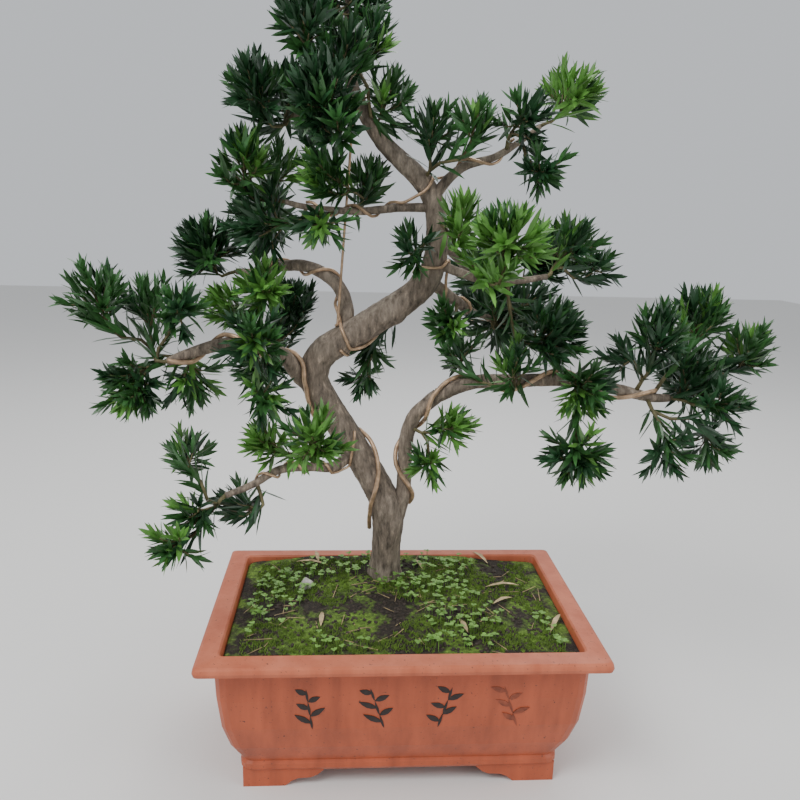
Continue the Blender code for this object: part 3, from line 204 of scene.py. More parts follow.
# Foliage: (limb, place or None for the tip, lift, tone, lobes), each lobe with its centre, its
# half width and its half height. Lift 1 stands up, 0 reaches out and -1 hangs.
# Tone: dark stands for old leaves and painted shade, young for young leaves and painted light.
MASSES = {
    "left_crest": ("bough_left", None, 0.8, "mid", [
        (-0.302, 0.030, 0.544, 0.030, 0.042), (-0.343, -0.010, 0.556, 0.036, 0.042),
        (-0.249, -0.030, 0.547, 0.030, 0.036)]),
    "left_skirt": ("bough_left", 0.80, -0.6, "mid", [
        (-0.252, 0.030, 0.461, 0.034, 0.040), (-0.305, -0.030, 0.461, 0.036, 0.038)]),
    "pompom": ("bough_left_upper", None, 0.7, "dark", [
        (-0.242, 0.090, 0.609, 0.044, 0.043)]),
    "upper_left_light": ("bough_left_upper", 0.74, 0.3, "young", [
        (-0.165, 0.000, 0.572, 0.034, 0.036), (-0.212, 0.050, 0.545, 0.034, 0.029)]),
    "left_back": ("bough_back_low", None, 0.2, "dark", [
        (-0.189, 0.200, 0.449, 0.048, 0.046), (-0.142, 0.140, 0.540, 0.036, 0.032)]),
    "left_front": ("bough_left", 0.50, 0.1, "mid", [
        (-0.168, -0.050, 0.517, 0.036, 0.036), (-0.159, -0.040, 0.457, 0.030, 0.038)]),
    "column_top": ("bough_left_high", None, 0.9, "mid", [
        (-0.150, 0.050, 0.702, 0.032, 0.036), (-0.181, 0.000, 0.708, 0.032, 0.043)]),
    "column_foot": ("bough_left_high", 0.86, -0.1, "dark", [
        (-0.166, 0.020, 0.641, 0.040, 0.041), (-0.173, 0.130, 0.657, 0.042, 0.044)]),
    "crown_left": ("bough_crown_left", None, 0.6, "dark", [
        (-0.135, 0.030, 0.776, 0.033, 0.045), (-0.167, -0.020, 0.777, 0.035, 0.041)]),
    "apex": ("trunk", None, 0.9, "dark", [
        (-0.090, 0.030, 0.904, 0.040, 0.042), (-0.115, -0.030, 0.845, 0.036, 0.036),
        (-0.052, 0.034, 0.882, 0.028, 0.034)]),
    "crown_front": ("trunk", 0.875, 0.5, "dark", [
        (-0.097, -0.040, 0.774, 0.039, 0.047), (-0.074, -0.020, 0.817, 0.032, 0.036),
        (-0.080, -0.045, 0.745, 0.034, 0.026)]),
    "crown_right": ("trunk", 0.905, 0.6, "mid", [
        (-0.045, 0.020, 0.839, 0.028, 0.040), (-0.025, 0.040, 0.783, 0.030, 0.041)]),
    "crown_back": ("bough_back_top", None, 0.6, "dark", [
        (-0.093, 0.140, 0.832, 0.042, 0.045), (-0.109, 0.170, 0.778, 0.042, 0.042)]),
    "under_crown": ("bough_left_high", 0.52, 0.9, "mid", [
        (-0.046, 0.060, 0.694, 0.032, 0.031), (-0.098, -0.010, 0.700, 0.029, 0.036)]),
    "high_droop": ("bough_left_high", 0.66, -0.5, "mid", [
        (-0.099, -0.020, 0.643, 0.037, 0.023)]),
    "trunk_sprig": ("trunk", 0.650, 0.2, "mid", [
        (0.003, 0.000, 0.618, 0.022, 0.034)]),
    "upper_right_inner": ("trunk", 0.730, 0.9, "mid", [
        (0.024, 0.020, 0.748, 0.031, 0.038), (0.066, -0.010, 0.753, 0.031, 0.031)]),
    "upper_right_mid": ("bough_right_upper", 0.70, 0.2, "mid", [
        (0.123, -0.010, 0.762, 0.029, 0.037), (0.138, -0.030, 0.704, 0.027, 0.026)]),
    "upper_right_tip": ("bough_right_upper", None, 0.6, "young", [
        (0.183, 0.030, 0.791, 0.040, 0.037)]),
    "trunk_light": ("trunk", 0.665, 0.8, "young", [
        (0.056, -0.020, 0.651, 0.028, 0.038)]),
    "fan": ("bough_right_inner", 0.40, 0.7, "young", [
        (0.087, -0.020, 0.603, 0.035, 0.030), (0.093, -0.112, 0.635, 0.043, 0.037)]),
    "inner_tip": ("bough_right_inner", None, 0.5, "mid", [
        (0.193, 0.030, 0.624, 0.039, 0.039), (0.235, 0.050, 0.600, 0.031, 0.025)]),
    "mid_dark": ("bough_right_mid", None, 0.2, "dark", [
        (0.134, 0.120, 0.528, 0.052, 0.048)]),
    "mid_right": ("bough_right_inner", 0.66, 0.3, "dark", [
        (0.156, 0.050, 0.556, 0.034, 0.030), (0.172, -0.004, 0.525, 0.040, 0.048)]),
    "mid_sprig": ("bough_right_mid", 0.45, 0.2, "mid", [
        (0.050, 0.005, 0.536, 0.032, 0.024)]),
    "arm_spray": ("bough_right_arm", 0.27, 0.6, "mid", [
        (0.125, -0.016, 0.484, 0.027, 0.036), (0.072, 0.048, 0.493, 0.028, 0.025)]),
    "arm_tuft": ("bough_right_arm", 0.56, -0.3, "mid", [
        (0.203, -0.040, 0.467, 0.037, 0.037), (0.196, -0.062, 0.394, 0.043, 0.033)]),
    "far_left": ("bough_right_arm", 0.84, 0.8, "dark", [
        (0.288, -0.030, 0.526, 0.033, 0.046), (0.265, 0.010, 0.493, 0.022, 0.023)]),
    "far_core": ("bough_right_arm", None, 0.3, "dark", [
        (0.352, 0.010, 0.462, 0.043, 0.040), (0.366, -0.046, 0.456, 0.028, 0.029),
        (0.388, 0.100, 0.466, 0.044, 0.040)]),
    "far_top": ("bough_right_arm", 0.93, 0.8, "mid", [
        (0.364, 0.030, 0.541, 0.039, 0.044), (0.421, 0.020, 0.506, 0.038, 0.034)]),
    "far_drop": ("bough_right_arm", 0.90, -0.7, "dark", [
        (0.300, -0.056, 0.398, 0.032, 0.030), (0.376, 0.000, 0.392, 0.034, 0.036)]),
    "rise_sprig": ("bough_right_rise", 0.72, 0.3, "young", [
        (0.057, -0.005, 0.412, 0.030, 0.029), (0.030, 0.008, 0.362, 0.021, 0.021)]),
    "hang_sprig": ("trunk", 0.490, -0.7, "dark", [
        (-0.041, 0.085, 0.487, 0.024, 0.018), (-0.048, 0.078, 0.452, 0.026, 0.023)]),
    "lower_left_drop": ("bough_left_low", None, 0.0, "mid", [
        (-0.238, -0.060, 0.325, 0.034, 0.027), (-0.247, -0.024, 0.383, 0.032, 0.029),
        (-0.255, -0.094, 0.300, 0.028, 0.027)]),
    "lower_left_inner": ("bough_left_low", 0.78, 0.1, "dark", [
        (-0.192, -0.006, 0.314, 0.036, 0.026)]),
    "lower_left_light": ("bough_left_low", 0.36, 0.5, "young", [
        (-0.159, -0.024, 0.398, 0.033, 0.028), (-0.101, -0.092, 0.420, 0.032, 0.040)]),
    "right_back": ("bough_back_right", None, 0.3, "dark", [
        (0.127, 0.240, 0.573, 0.048, 0.046), (0.165, 0.215, 0.518, 0.046, 0.044),
        (0.204, 0.180, 0.602, 0.042, 0.040)]),
}

# Stems: radius, and the places tried where one would cross something
STEM_RADIUS = 0.0026
STEM_STEPS = 3
FORK_AHEAD = 0.5
TIP_PLACES = (0.92, 0.84, 0.76, 0.68, 0.60)
LAST_PLACE = 0.97
NUDGES = (0.0, 0.03, -0.03, 0.06, -0.06, 0.09, -0.09, 0.12, -0.12, 0.16, -0.16)

# Side twigs. A fan is the share along its way of the first shoot, and how much it falls to the last.
TWIG_RADIUS = 0.0019
SIDE_RADIUS = 0.0012
SIDE_FROM = 0.25
TWIG_SIDES = 3
TWIGS_PER_LITRE = 3.0
TWIG_REACH = 0.42
TWIG_REACHES = (0.85, 1.2)
TWIG_FAN = (0.55, 0.85)
TWIG_SWAY = 0.3

# A lobe's hub and middle shoot, the turn from one shoot to the next, and the slack round a lobe
HUB_BACK = 0.72
HUB_AHEAD = 0.012
SHOOT_LEAST = 0.10
SHOOT_BARE = 0.036
GOLDEN = math.radians(137.508)
LOBE_SLACK = 1.10

# Regions of the plant, each with its masses: their leaves are joined
REGIONS = {
    "low_left": ("lower_left_drop", "lower_left_inner", "lower_left_light"),
    "left": ("left_crest", "left_skirt", "left_front", "left_back"),
    "upper_left": ("pompom", "upper_left_light", "column_top", "column_foot", "high_droop"),
    "top": ("crown_left", "apex", "crown_front", "crown_right", "crown_back", "under_crown"),
    "upper_right": ("trunk_sprig", "upper_right_inner", "upper_right_mid", "upper_right_tip",
                    "trunk_light"),
    "middle": ("fan", "inner_tip", "mid_dark", "mid_right", "mid_sprig", "right_back",
               "hang_sprig"),
    "right": ("arm_spray", "arm_tuft", "far_left", "far_core", "far_top", "far_drop",
              "rise_sprig"),
}

# How a mass's sprays are dealt out among the tones
# Dark sprays are old leaves and painted shade; young sprays are young leaves and painted light.
TONE_SHARES = {
    "dark": (("dark", 0.72), ("mid", 0.28)),
    "mid": (("dark", 0.26), ("mid", 0.60), ("young", 0.14)),
    "young": (("mid", 0.24), ("young", 0.76)),
}
YELLOW_MASS = "trunk_light"
YELLOW_SHARE = 0.16

# Finer growth: sprays for each litre of a lobe, and the leaves along each. Angles in degrees.
SPRAYS_PER_LITRE = 46.0
SPRAYS_LEAST = 6
SPRAY_REACH = 0.80
SPRAY_REACHES = (0.50, 1.12)
SPRAY_STARTS = (0.05, 0.75)
SPRAY_RISES = (0.1, 0.5)
SPRAY_FAN = (0.95, 1.55)
SPRAY_SWAY = 0.35
SPRAY_STEPS = 4
SPRAY_SIDES = 4
STEM_SIDES = 6
LEAF_STEP = 0.0034
LEAF_START = 0.22
LEAF_RUN = 0.80
LEAF_OPEN = (62.0, 22.0)
LEAF_SWAY = 11.0
LEAF_LENGTHS = (0.72, 1.0)
LEAF_WIDTHS = (0.85, 1.1)
LEAF_ARCHES = (-0.5, 1.2)
LEAF_SHORTEST = 0.017
LEAF_ROOM_LEAST = 0.024
STEM_LEAF_ROOM = 0.036
LEAF_THICK = 0.0005
LEAF_FOLD = 0.10
LEAF_SINK = 0.0008
WOOD_CLEAR = 0.003
LEAF_STATIONS = ((0.22, 0.74), (0.50, 1.0), (0.80, 0.58))
LEAF_ARCH = 0.075

# Bark relief, and the scales of its ridges and its grain
BARK_STEP = 0.0040
TRUNK_ROUND = 40
BOUGH_ROUND = 20
BARK_RIDGE = 0.0017
BARK_GRAIN = 0.0007
BARK_STRETCH = 0.32
RIDGE_SCALE = 190.0
RIDGE_MIDDLE = 0.35
GRAIN_SCALE = 640.0
FULL_RELIEF_RADIUS = 0.012

# Knots on the trunk: place, turn in degrees, size
KNOTS = ((0.135, 40, 0.0030), (0.235, 200, 0.0034), (0.33, 20, 0.0028), (0.41, 330, 0.0034),
         (0.52, 70, 0.0030), (0.58, 300, 0.0026), (0.66, 10, 0.0026), (0.74, 150, 0.0020))
KNOT_LENGTH = 0.011

# Soil's surface and its cover: numbers of things, then their sizes
SOIL_SHARES = 72
SOIL_POINT_STEP = 0.0030
SOIL_ROUGH = 0.0022
GRAINS = 1500
SEEDLINGS = 640
MOSS_TUFTS = 3800
STRAWS = 90
DEAD_LEAVES = 9
COVER_EDGE = 0.93
COVER_BACK = 0.004
SOIL_SEED = 23
SOIL_LUMPS = 38.0
SOIL_CRUMBS = 130.0
GRAIN_SIZES = (0.0010, 0.0030)
STRAW_LENGTHS = (0.010, 0.032)
STRAW_RADII = (0.0006, 0.0003)
DEAD_LENGTHS = (0.030, 0.050)
DEAD_WIDTH = 0.0062
DEAD_ARCH = 0.10
PEBBLE_PLACE = (-0.118, 0.030)
PEBBLE_SIZE = 0.0095
TUFT_SHOOTS = 5
TUFT_RADII = (0.0008, 0.0003)
TUFT_LENGTHS = (0.0022, 0.0050)
TUFT_SPREAD = 0.0022
STALK_RADII = (0.0004, 0.0003)
STALK_LENGTHS = (0.004, 0.014)
SEEDLING_LEAVES = (0.0030, 0.0058)

# Patches: layer of the noise, its scale, and the value above which a patch lies
MOSS_PATCHES = (2.0, 16.0, -0.05)
SEEDLING_PATCHES = (5.0, 9.0, 0.02)

# Brush sprigs on the pot's front: middle along x, strength of the paint. A stroke's outline is
# the share along it and the share of its half width.
SPRIGS = ((-0.106, 1.0), (-0.030, 1.0), (0.046, 1.0), (0.121, 0.5))
SPRIG_Z = (0.092, 0.146)
SPRIG_LEAVES = 5
SPRIG_RAISE = 0.0004
SPRIG_SINK = 0.0006
STROKE_WIDTHS = (0.0030, 0.0075)
STROKE_OUTLINE = ((0, 0.0), (0.25, 0.8), (0.5, 1.0), (0.78, 0.6), (1, 0.0), (0.78, -0.5),
                  (0.5, -0.9), (0.25, -0.7))
INK_ROUGHNESS = 0.6
MOSS_ROUGHNESS = 0.9
POT_SEED = 7

# Colours that a mix is steered by
BLACK = (0.0, 0.0, 0.0)
WHITE = (1.0, 1.0, 1.0)

# Small things of one colour: colour, roughness
FINISHES = {
    "twig": ((0.15, 0.13, 0.06), 0.75),
    "grain": ((0.045, 0.032, 0.024), 0.8),
    "seedling": ((0.15, 0.31, 0.05), 0.55),
    "straw": ((0.36, 0.27, 0.14), 0.8),
    "fallen": ((0.50, 0.38, 0.20), 0.7),
    "pebble": ((0.50, 0.47, 0.43), 0.7),
}

# Stage, and the lights: name, place, size, energy
FLOOR_COLOUR = (0.72, 0.71, 0.69, 1)
STUDIO_COLOUR = (0.86, 0.89, 0.93, 1)
STUDIO_STRENGTH = 0.75
LIGHTS = (("key", (-1.3, -1.2, 2.3), 1.3, 52.0), ("fill", (1.7, -1.1, 1.3), 1.6, 16.0),
          ("top", (0.3, 1.3, 2.2), 1.2, 26.0))
LIGHTS_AIM = (0, 0, 0.45)

# Camera, fitted to the pot, from the middle of the pot's foot print
CAMERA_PLACE = (-0.069, -0.866, 0.651)
CAMERA_RIGHT = (0.9979, -0.0601, 0.0249)
CAMERA_UP = (-0.0102, 0.2340, 0.9722)
CAMERA_FORWARD = (0.0643, 0.9704, -0.2329)
SENSOR = 36.0
FOCAL_SHARE = 751.9 / 800
SHIFT_X = 5.9 / 800


def fresh_material(name):
    """An empty node material with its shader."""
    material = bpy.data.materials.new(name)
    material.use_nodes = True
    return material, material.node_tree.nodes["Principled BSDF"]


def link(material, out, into):
    """Join a node's output to an input."""
    material.node_tree.links.new(out, into)


def add(material, kind, values=(), links=()):
    """A node of a kind, with values and links for its inputs, each as (input, value or output)."""
    node = material.node_tree.nodes.new(kind)
    for key, value in values:
        node.inputs[key].default_value = value
    for key, out in links:
        link(material, out, node.inputs[key])
    return node


def ramp_of(material, factor, *stops):
    """A colour ramp through stops (place, colour) on a factor."""
    ramp = add(material, "ShaderNodeValToRGB", links=[("Fac", factor)])
    elements = ramp.color_ramp.elements
    while len(elements) < len(stops):
        elements.new(0.5)
    for element, (place, colour) in zip(elements, stops):
        element.position = place
        element.color = (*colour, 1.0)
    return ramp.outputs["Color"]


def place_of(material, scale=(1.0, 1.0, 1.0)):
    """Object coordinates, stretched."""
    place = add(material, "ShaderNodeTexCoord").outputs["Object"]
    return add(material, "ShaderNodeMapping", [("Scale", scale)],
               [("Vector", place)]).outputs["Vector"]


def noise_of(material, place, scale, detail=4.0, roughness=0.55):
    """A noise's value at a place."""
    return add(material, "ShaderNodeTexNoise",
               [("Scale", scale), ("Detail", detail), ("Roughness", roughness)],
               [("Vector", place)]).outputs["Fac"]


def mixed(material, factor, first, second):
    """Two colours mixed by a factor."""
    mix = add(material, "ShaderNodeMix")
    mix.data_type = "RGBA"
    for socket, out in ((0, factor), (6, first), (7, second)):
        link(material, out, mix.inputs[socket])
    return mix.outputs[2]


def dressed(material, shader, tone, roughness, height, strength, distance, **more):
    """The material with a colour, a roughness and a relief from a height, and more values."""
    bump = add(material, "ShaderNodeBump", [("Strength", strength), ("Distance", distance)],
               [("Height", height)])
    link(material, bump.outputs["Normal"], shader.inputs["Normal"])
    link(material, tone, shader.inputs["Base Color"])
    for key, value in (("Roughness", roughness), *more.items()):
        shader.inputs[key].default_value = value
    return material


def shade(colour, share):
    """A colour made darker or lighter."""
    return tuple(min(1.0, c * share) for c in colour)


def tones_of(material, factor, colour, *stops):
    """A colour ramp of a colour made darker or lighter, through stops (place, share)."""
    return ramp_of(material, factor, *((place, shade(colour, share)) for place, share in stops))


def leaf_material(name, colour):
    """Glossy leaves: the tone varies from leaf to leaf, with a fine grain."""
    material, shader = fresh_material(name)
    shader.inputs["Specular IOR Level"].default_value = 0.45
    place = place_of(material)
    tone = tones_of(material, noise_of(material, place, 34.0, 2.0), colour,
                    (0.30, 0.62), (0.55, 1.0), (0.74, 1.65))
    return dressed(material, shader, tone, 0.34, noise_of(material, place, 420.0, 2.0), 0.10, 0.0006)


def bark_material(colour):
    """Fibrous grey-brown bark with pale flakes and dark cracks."""
    material, shader = fresh_material("bark")
    fibres = noise_of(material, place_of(material, (3.0, 3.0, 0.8)), 58.0, 8.0, 0.68)
    patches = noise_of(material, place_of(material), 21.0, 4.0)
    wood = tones_of(material, fibres, colour, (0.30, 0.14), (0.46, 0.66), (0.58, 1.0), (0.72, 2.1))
    pale = ramp_of(material, patches, (0.50, BLACK), (0.66, (0.55, 0.55, 0.55)))
    flakes = ramp_of(material, fibres, (0.40, shade(colour, 0.9)), (0.62, (0.42, 0.36, 0.29)))
    tone = mixed(material, pale, wood, flakes)
    return dressed(material, shader, tone, 0.88, fibres, 0.75, 0.0016)


def clay_material(colour):
    """Unglazed red clay, with painted light along the rim, faint streaks, speckles and a fine grain.
    """
    material, shader = fresh_material("clay")
    place = place_of(material)
    streaks = noise_of(material, place_of(material, (1.0, 1.0, 0.16)), 46.0, 5.0)
    body = tones_of(material, streaks, colour, (0.30, 0.72), (0.52, 1.0), (0.75, 1.25))
    split = add(material, "ShaderNodeSeparateXYZ", links=[("Vector", place)])
    # Painted light: the rim is coloured lighter than the body, chosen by height.
    height = add(material, "ShaderNodeMapRange",
                 [("From Min", POT_HEIGHT - LIP_THICK - LIP_BLEND),
                  ("From Max", POT_HEIGHT - LIP_BLEND)], [("Value", split.outputs["Z"])])
    painted_lit_rim = ramp_of(material, streaks, (0.3, (0.44, 0.105, 0.046)), (0.7, (0.56, 0.16, 0.080)))
    tone = mixed(material, height.outputs["Result"], body, painted_lit_rim)
    specks = noise_of(material, place, 330.0, 2.0)
    dark = ramp_of(material, specks, (0.26, WHITE), (0.33, BLACK))
    earth = ramp_of(material, specks, (0.2, (0.05, 0.025, 0.018)), (0.4, (0.10, 0.05, 0.035)))
    grain = noise_of(material, place, 150.0, 8.0, 0.62)
    tone = mixed(material, dark, tone, earth)
    return dressed(material, shader, tone, 0.43, grain, 0.22, 0.0012)


def soil_material(colour, moss):
    """Dark crumbly soil with green moss in patches."""
    material, shader = fresh_material("soil")
    place = place_of(material)
    crumbs = noise_of(material, place, 240.0, 8.0, 0.7)
    patches = noise_of(material, place, 17.0, 5.0, 0.62)
    earth = tones_of(material, crumbs, colour, (0.35, 0.4), (0.55, 1.0), (0.72, 3.4))
    green = tones_of(material, crumbs, moss, (0.35, 0.30), (0.55, 1.0), (0.75, 2.2))
    spread = ramp_of(material, patches, (0.47, BLACK), (0.56, WHITE))
    tone = mixed(material, spread, earth, green)
    return dressed(material, shader, tone, 0.95, crumbs, 0.9, 0.003)


def grain_material(name, colour, roughness, metallic=0.0):
    """A colour with an even, fine variation."""
    material, shader = fresh_material(name)
    grain = noise_of(material, place_of(material), 120.0, 5.0)
    tone = tones_of(material, grain, colour, (0.3, 0.55), (0.55, 1.0), (0.75, 1.5))
    return dressed(material, shader, tone, roughness, grain, 0.25, 0.0008, Metallic=metallic)


# Meshes

def placed(name, data):
    """A mesh, a light or a camera as an object of the scene."""
    obj = bpy.data.objects.new(name, data)
    bpy.context.scene.collection.objects.link(obj)
    return obj


class Gather:
    """Vertices and faces of many small solids that become one piece."""

    def __init__(self):
        self.vertices = []
        self.faces = []

    def add(self, vertices, faces):
        """Take in one more solid."""
        start = len(self.vertices)
        self.vertices += vertices
        self.faces += [tuple(start + i for i in face) for face in faces]

    def piece(self, name, material, slot, nodes=(), smooth=False):
        """The gathered solids as one piece, moved to the pot's place."""
        mesh = bpy.data.meshes.new(name)
        mesh.from_pydata([tuple(v + POT_CENTRE) for v in self.vertices], [], self.faces)
        mesh.update()
        if smooth:
            mesh.shade_smooth()
        mesh.materials.append(material)
        obj = placed(name, mesh)
        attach(obj, "root")
        if nodes:
            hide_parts(*nodes)


def smooth_curve(stations, step):
    """Points about a step apart on a smooth curve through the stations, radius included."""
    ends = [stations[0], *stations, stations[-1]]
    points = []
    for a, b, c, d in zip(ends, ends[1:], ends[2:], ends[3:]):
        count = max(1, round(math.dist(b[:3], c[:3]) / step))
        for i in range(count):
            t = i / count
            points.append(tuple(
                0.5 * (2 * q + (r - p) * t + (2 * p - 5 * q + 4 * r - s) * t * t
                       + (3 * q - p - 3 * r + s) * t ** 3)
                for p, q, r, s in zip(a, b, c, d)))
    points.append(stations[-1])
    return points


def tangents(points):
    """Unit directions along a line of points."""
    ahead = points[1:] + points[-1:]
    behind = points[:1] + points[:-1]
    return [(a - b).normalized() for a, b in zip(ahead, behind)]


def front_and_side(direction):
    """The directions to the front and to the side of a limb that runs in a direction."""
    front = Vector((0, -1, 0)) - direction * Vector((0, -1, 0)).dot(direction)
    if front.length < 0.15:
        front = Vector((0, 0, 1)) - direction * direction.z
    front.normalize()
    return front, direction.cross(front)


def around(front, side, angle):
    """The direction at an angle from the front toward the side."""
    return front * math.cos(angle) + side * math.sin(angle)


def frames(points, first=None):
    """Direction along a line and direction across it at each of its points, without twist.
    first, where given, is the direction that the line's first section faces."""
    directions = tangents(points)
    directions[-2] = directions[-1]
    if first is not None:
        directions[0] = first
    across = front_and_side(directions[0])[0]
    turned = []
    for direction in directions:
        across = (across - direction * across.dot(direction)).normalized()
        turned.append((direction, across))
    return turned


def loft(rings):
    """Vertices and faces of a closed solid through rings, from its first to its last cap."""
    count = len(rings[0])
    vertices = [v for ring in rings for v in ring]
    faces = [tuple(reversed(range(count)))]
    for i in range(len(rings) - 1):
        for k in range(count):
            n = (k + 1) % count
            faces.append((i * count + k, i * count + n, (i + 1) * count + n, (i + 1) * count + k))
    faces.append(tuple(range((len(rings) - 1) * count, len(rings) * count)))
    return vertices, faces


def tube(points, radii, sides, shape=None, first=None):
    """Vertices and faces of a closed tube along points. shape(i, angle) scales the radius."""
    rings = []
    for i, (direction, across) in enumerate(frames(points, first)):
        side = direction.cross(across)
        ring = []
        for k in range(sides):
            angle = math.tau * k / sides
            reach = radii[i] * (shape(i, angle) if shape else 1.0)
            ring.append(points[i] + around(across, side, angle) * reach)
        rings.append(ring)
    return loft(rings)


class Limb:
    """A limb's smooth centre line with its radii, and places along it."""

    def __init__(self, stations, step=LIMB_STEP):
        samples = smooth_curve(stations, step)
        self.points = [Vector(s[:3]) for s in samples]
        self.radii = [s[3] for s in samples]
        self.along = [0.0]
        for a, b in zip(self.points, self.points[1:]):
            self.along.append(self.along[-1] + (b - a).length)

    def at(self, share):
        """Point, radius and direction at a share of the length."""
        target = share * self.along[-1]
        i = max(k for k in range(len(self.along) - 1) if self.along[k] <= target)
        t = (target - self.along[i]) / (self.along[i + 1] - self.along[i])
        point = self.points[i].lerp(self.points[i + 1], t)
        radius = self.radii[i] + (self.radii[i + 1] - self.radii[i]) * t
        return point, radius, (self.points[i + 1] - self.points[i]).normalized()


def trunk_shape(limb):
    """How the trunk's radius changes round and along it: fluting, and the flare of its foot."""

    def shape(i, angle):
        """The share of the radius at a place round the trunk."""
        flare = TRUNK_FLARE * math.exp(-limb.along[i] / FLARE_HEIGHT)
        turn = 4.0 * limb.along[i]
        fluting = (TRUNK_LOBING[0] * math.cos(2 * angle + turn)
                   + TRUNK_LOBING[1] * math.cos(3 * angle - 2 * turn))
        return 1 + fluting + flare * (1 + 0.30 * math.cos(4 * angle + 0.7))

    return shape


# Training wires

def eased(points, surface, distance):
    """Draw a wire's points tight, and keep them a distance off the bark."""
    for turn in range(WIRE_EASE):
        drawn = [b * 0.6 + (a + c) * 0.2 for a, b, c in zip(points, points[1:], points[2:])]
        points = [points[0], *drawn, points[-1]] if turn < WIRE_DRAWS else points
        for i, point in enumerate(points):
            nearest, normal, _, away = surface.find_nearest(point)
            outside = (point - nearest).dot(normal) > 0
            if not outside or away < distance:
                outward = (point - nearest).normalized() if outside and away > 1e-5 else normal
                points[i] = nearest + outward * distance
    return points


def even(points, step):
    """The same line with its points evenly a step apart."""
    lengths = [(b - a).length for a, b in zip(points, points[1:])]
    count = max(2, round(sum(lengths) / step))
    spaced, i, passed = [], 0, 0.0
    for k in range(count + 1):
        target = sum(lengths) * k / count
        while i < len(lengths) - 1 and passed + lengths[i] < target:
            passed += lengths[i]
            i += 1
        spaced.append(points[i].lerp(points[i + 1], min(1.0, (target - passed) / lengths[i])))
    return spaced


def wire_points(limbs, legs, radius, surface):
    """A wire's centre line, wound on its limbs one leg after another."""
    points = []
    for name, start, stop, first, last in legs:
        limb = limbs[name]
        count = max(3, round(abs(last - first) / WIRE_TURN))
        for i in range(count + 1):
            t = i / count
            centre, reach, direction = limb.at(start + (stop - start) * t)
            front, side = front_and_side(direction)
            angle = math.radians(first + (last - first) * t)
            points.append(centre + around(front, side, angle) * (reach + radius + WIRE_CLEAR))
    return eased(even(points, WIRE_STEP), surface, radius + WIRE_CLEAR)


def tie_legs():
    """The tie's legs: most of a turn round the trunk, straight up, and a turn again."""
    low, high = TIE_PLACES
    return [("trunk", low, low + TIE_RISE, 300 - TIE_TURNS, 300),
            ("trunk", high, high + TIE_RISE, 280, 280 + TIE_TURNS)]


# Pot and soil

def rounded_ring(half_x, half_y, corner, z):
    """A closed ring of points: a rectangle with rounded corners."""
    ring = []
    for quarter, (sx, sy) in enumerate(((1, 1), (-1, 1), (-1, -1), (1, -1))):
        centre = Vector((sx * (half_x - corner), sy * (half_y - corner), z))
        for k in range(CORNER_STEPS + 1):
            angle = math.tau / 4 * (quarter + k / CORNER_STEPS)
            ring.append(centre + Vector((math.cos(angle), math.sin(angle), 0)) * corner)
    return ring


def body_inset(z):
    """How far the pot's wall stands in at a height: nearly upright, rounded in at its foot."""
    top = POT_HEIGHT - LIP_THICK
    fall = max(0.0, (top - z) / (top - BODY_FOOT_Z))
    return BODY_FOOT_INSET * (0.14 * fall + 0.86 * fall ** BODY_ROUND)


# Foliage

class Lobe:
    """The room that a part of a mass has: an upright ellipsoid."""

    def __init__(self, owner, row):
        self.owner = owner
        self.centre = Vector(row[:3])
        self.size = Vector((row[3], row[3], row[4]))

    def litres(self):
        """The room's volume."""
        return self.size.x * self.size.y * self.size.z * 4 / 3 * math.pi * 1000

    def toward(self, way, reach):
        """A place toward the skin: 0 is the centre, 1 the skin."""
        return self.centre + Vector([a * b for a, b in zip(way, self.size)]) * reach

    def way_out(self, point, direction):
        """Length from a point inside to the skin, along a direction."""
        p = Vector([a / b for a, b in zip(point - self.centre, self.size)])
        d = Vector([a / b for a, b in zip(direction, self.size)])
        a, b, c = d.dot(d), p.dot(d), p.dot(p) - 1
        root = b * b - a * c
        return (-b + math.sqrt(root)) / a if root > 0 else 0.0


def swept(start, leaving, end, arriving, steps):
    """Points on a curve that leaves and arrives in given directions."""
    reach = (end - start).length * 0.4
    points = []
    for i in range(steps + 1):
        t = i / steps
        points.append(start * (1 - t) ** 3 + (start + leaving * reach) * (3 * t * (1 - t) ** 2)
                      + (end - arriving * reach) * (3 * t * t * (1 - t)) + end * t ** 3)
    return points


def tapered(points, thick, thin):
    """Radii that fall evenly along a line of points."""
    last = len(points) - 1
    return [thick + (thin - thick) * i / last for i in range(len(points))]


def stem_root(limb, place, surface, toward):
    """Where a mass's stem starts, just clear of the bark, and the direction it leaves in."""
    if place is None:
        direction = (limb.points[-1] - limb.points[-2]).normalized()
        return limb.points[-1] + direction * GAP, direction
    centre, radius, direction = limb.at(place)
    away = toward - centre
    away = (away - direction * away.dot(direction)).normalized()
    hit, normal, _, _ = surface.ray_cast(centre + away * radius * 3, -away)
    if hit is None:
        return centre + away * (radius + GAP), away
    return hit + normal * GAP, normal


def lobe_frame(lobe, root, lift):
    """The hub that a lobe's twigs leave from, and the direction in which the lobe grows."""
    outward_way = lobe.centre - root
    outward_way.z = 0
    way = outward_way.normalized() * (1 - abs(lift)) + Vector((0, 0, lift))
    way.normalize()
    return lobe.toward(way, -HUB_BACK), way


def shoot_end(lobe, way):
    """Where a lobe's middle shoot ends, so that its last blades reach the lobe's skin."""
    return lobe.toward(way, max(SHOOT_LEAST, 1 - SHOOT_BARE / lobe.size.z))


def put_ahead(hub, start, leaving):
    """The hub, moved where it lies beside or behind the place that its stem starts from."""
    short = HUB_AHEAD - (hub - start).dot(leaving)
    return hub + leaving * max(0.0, short)


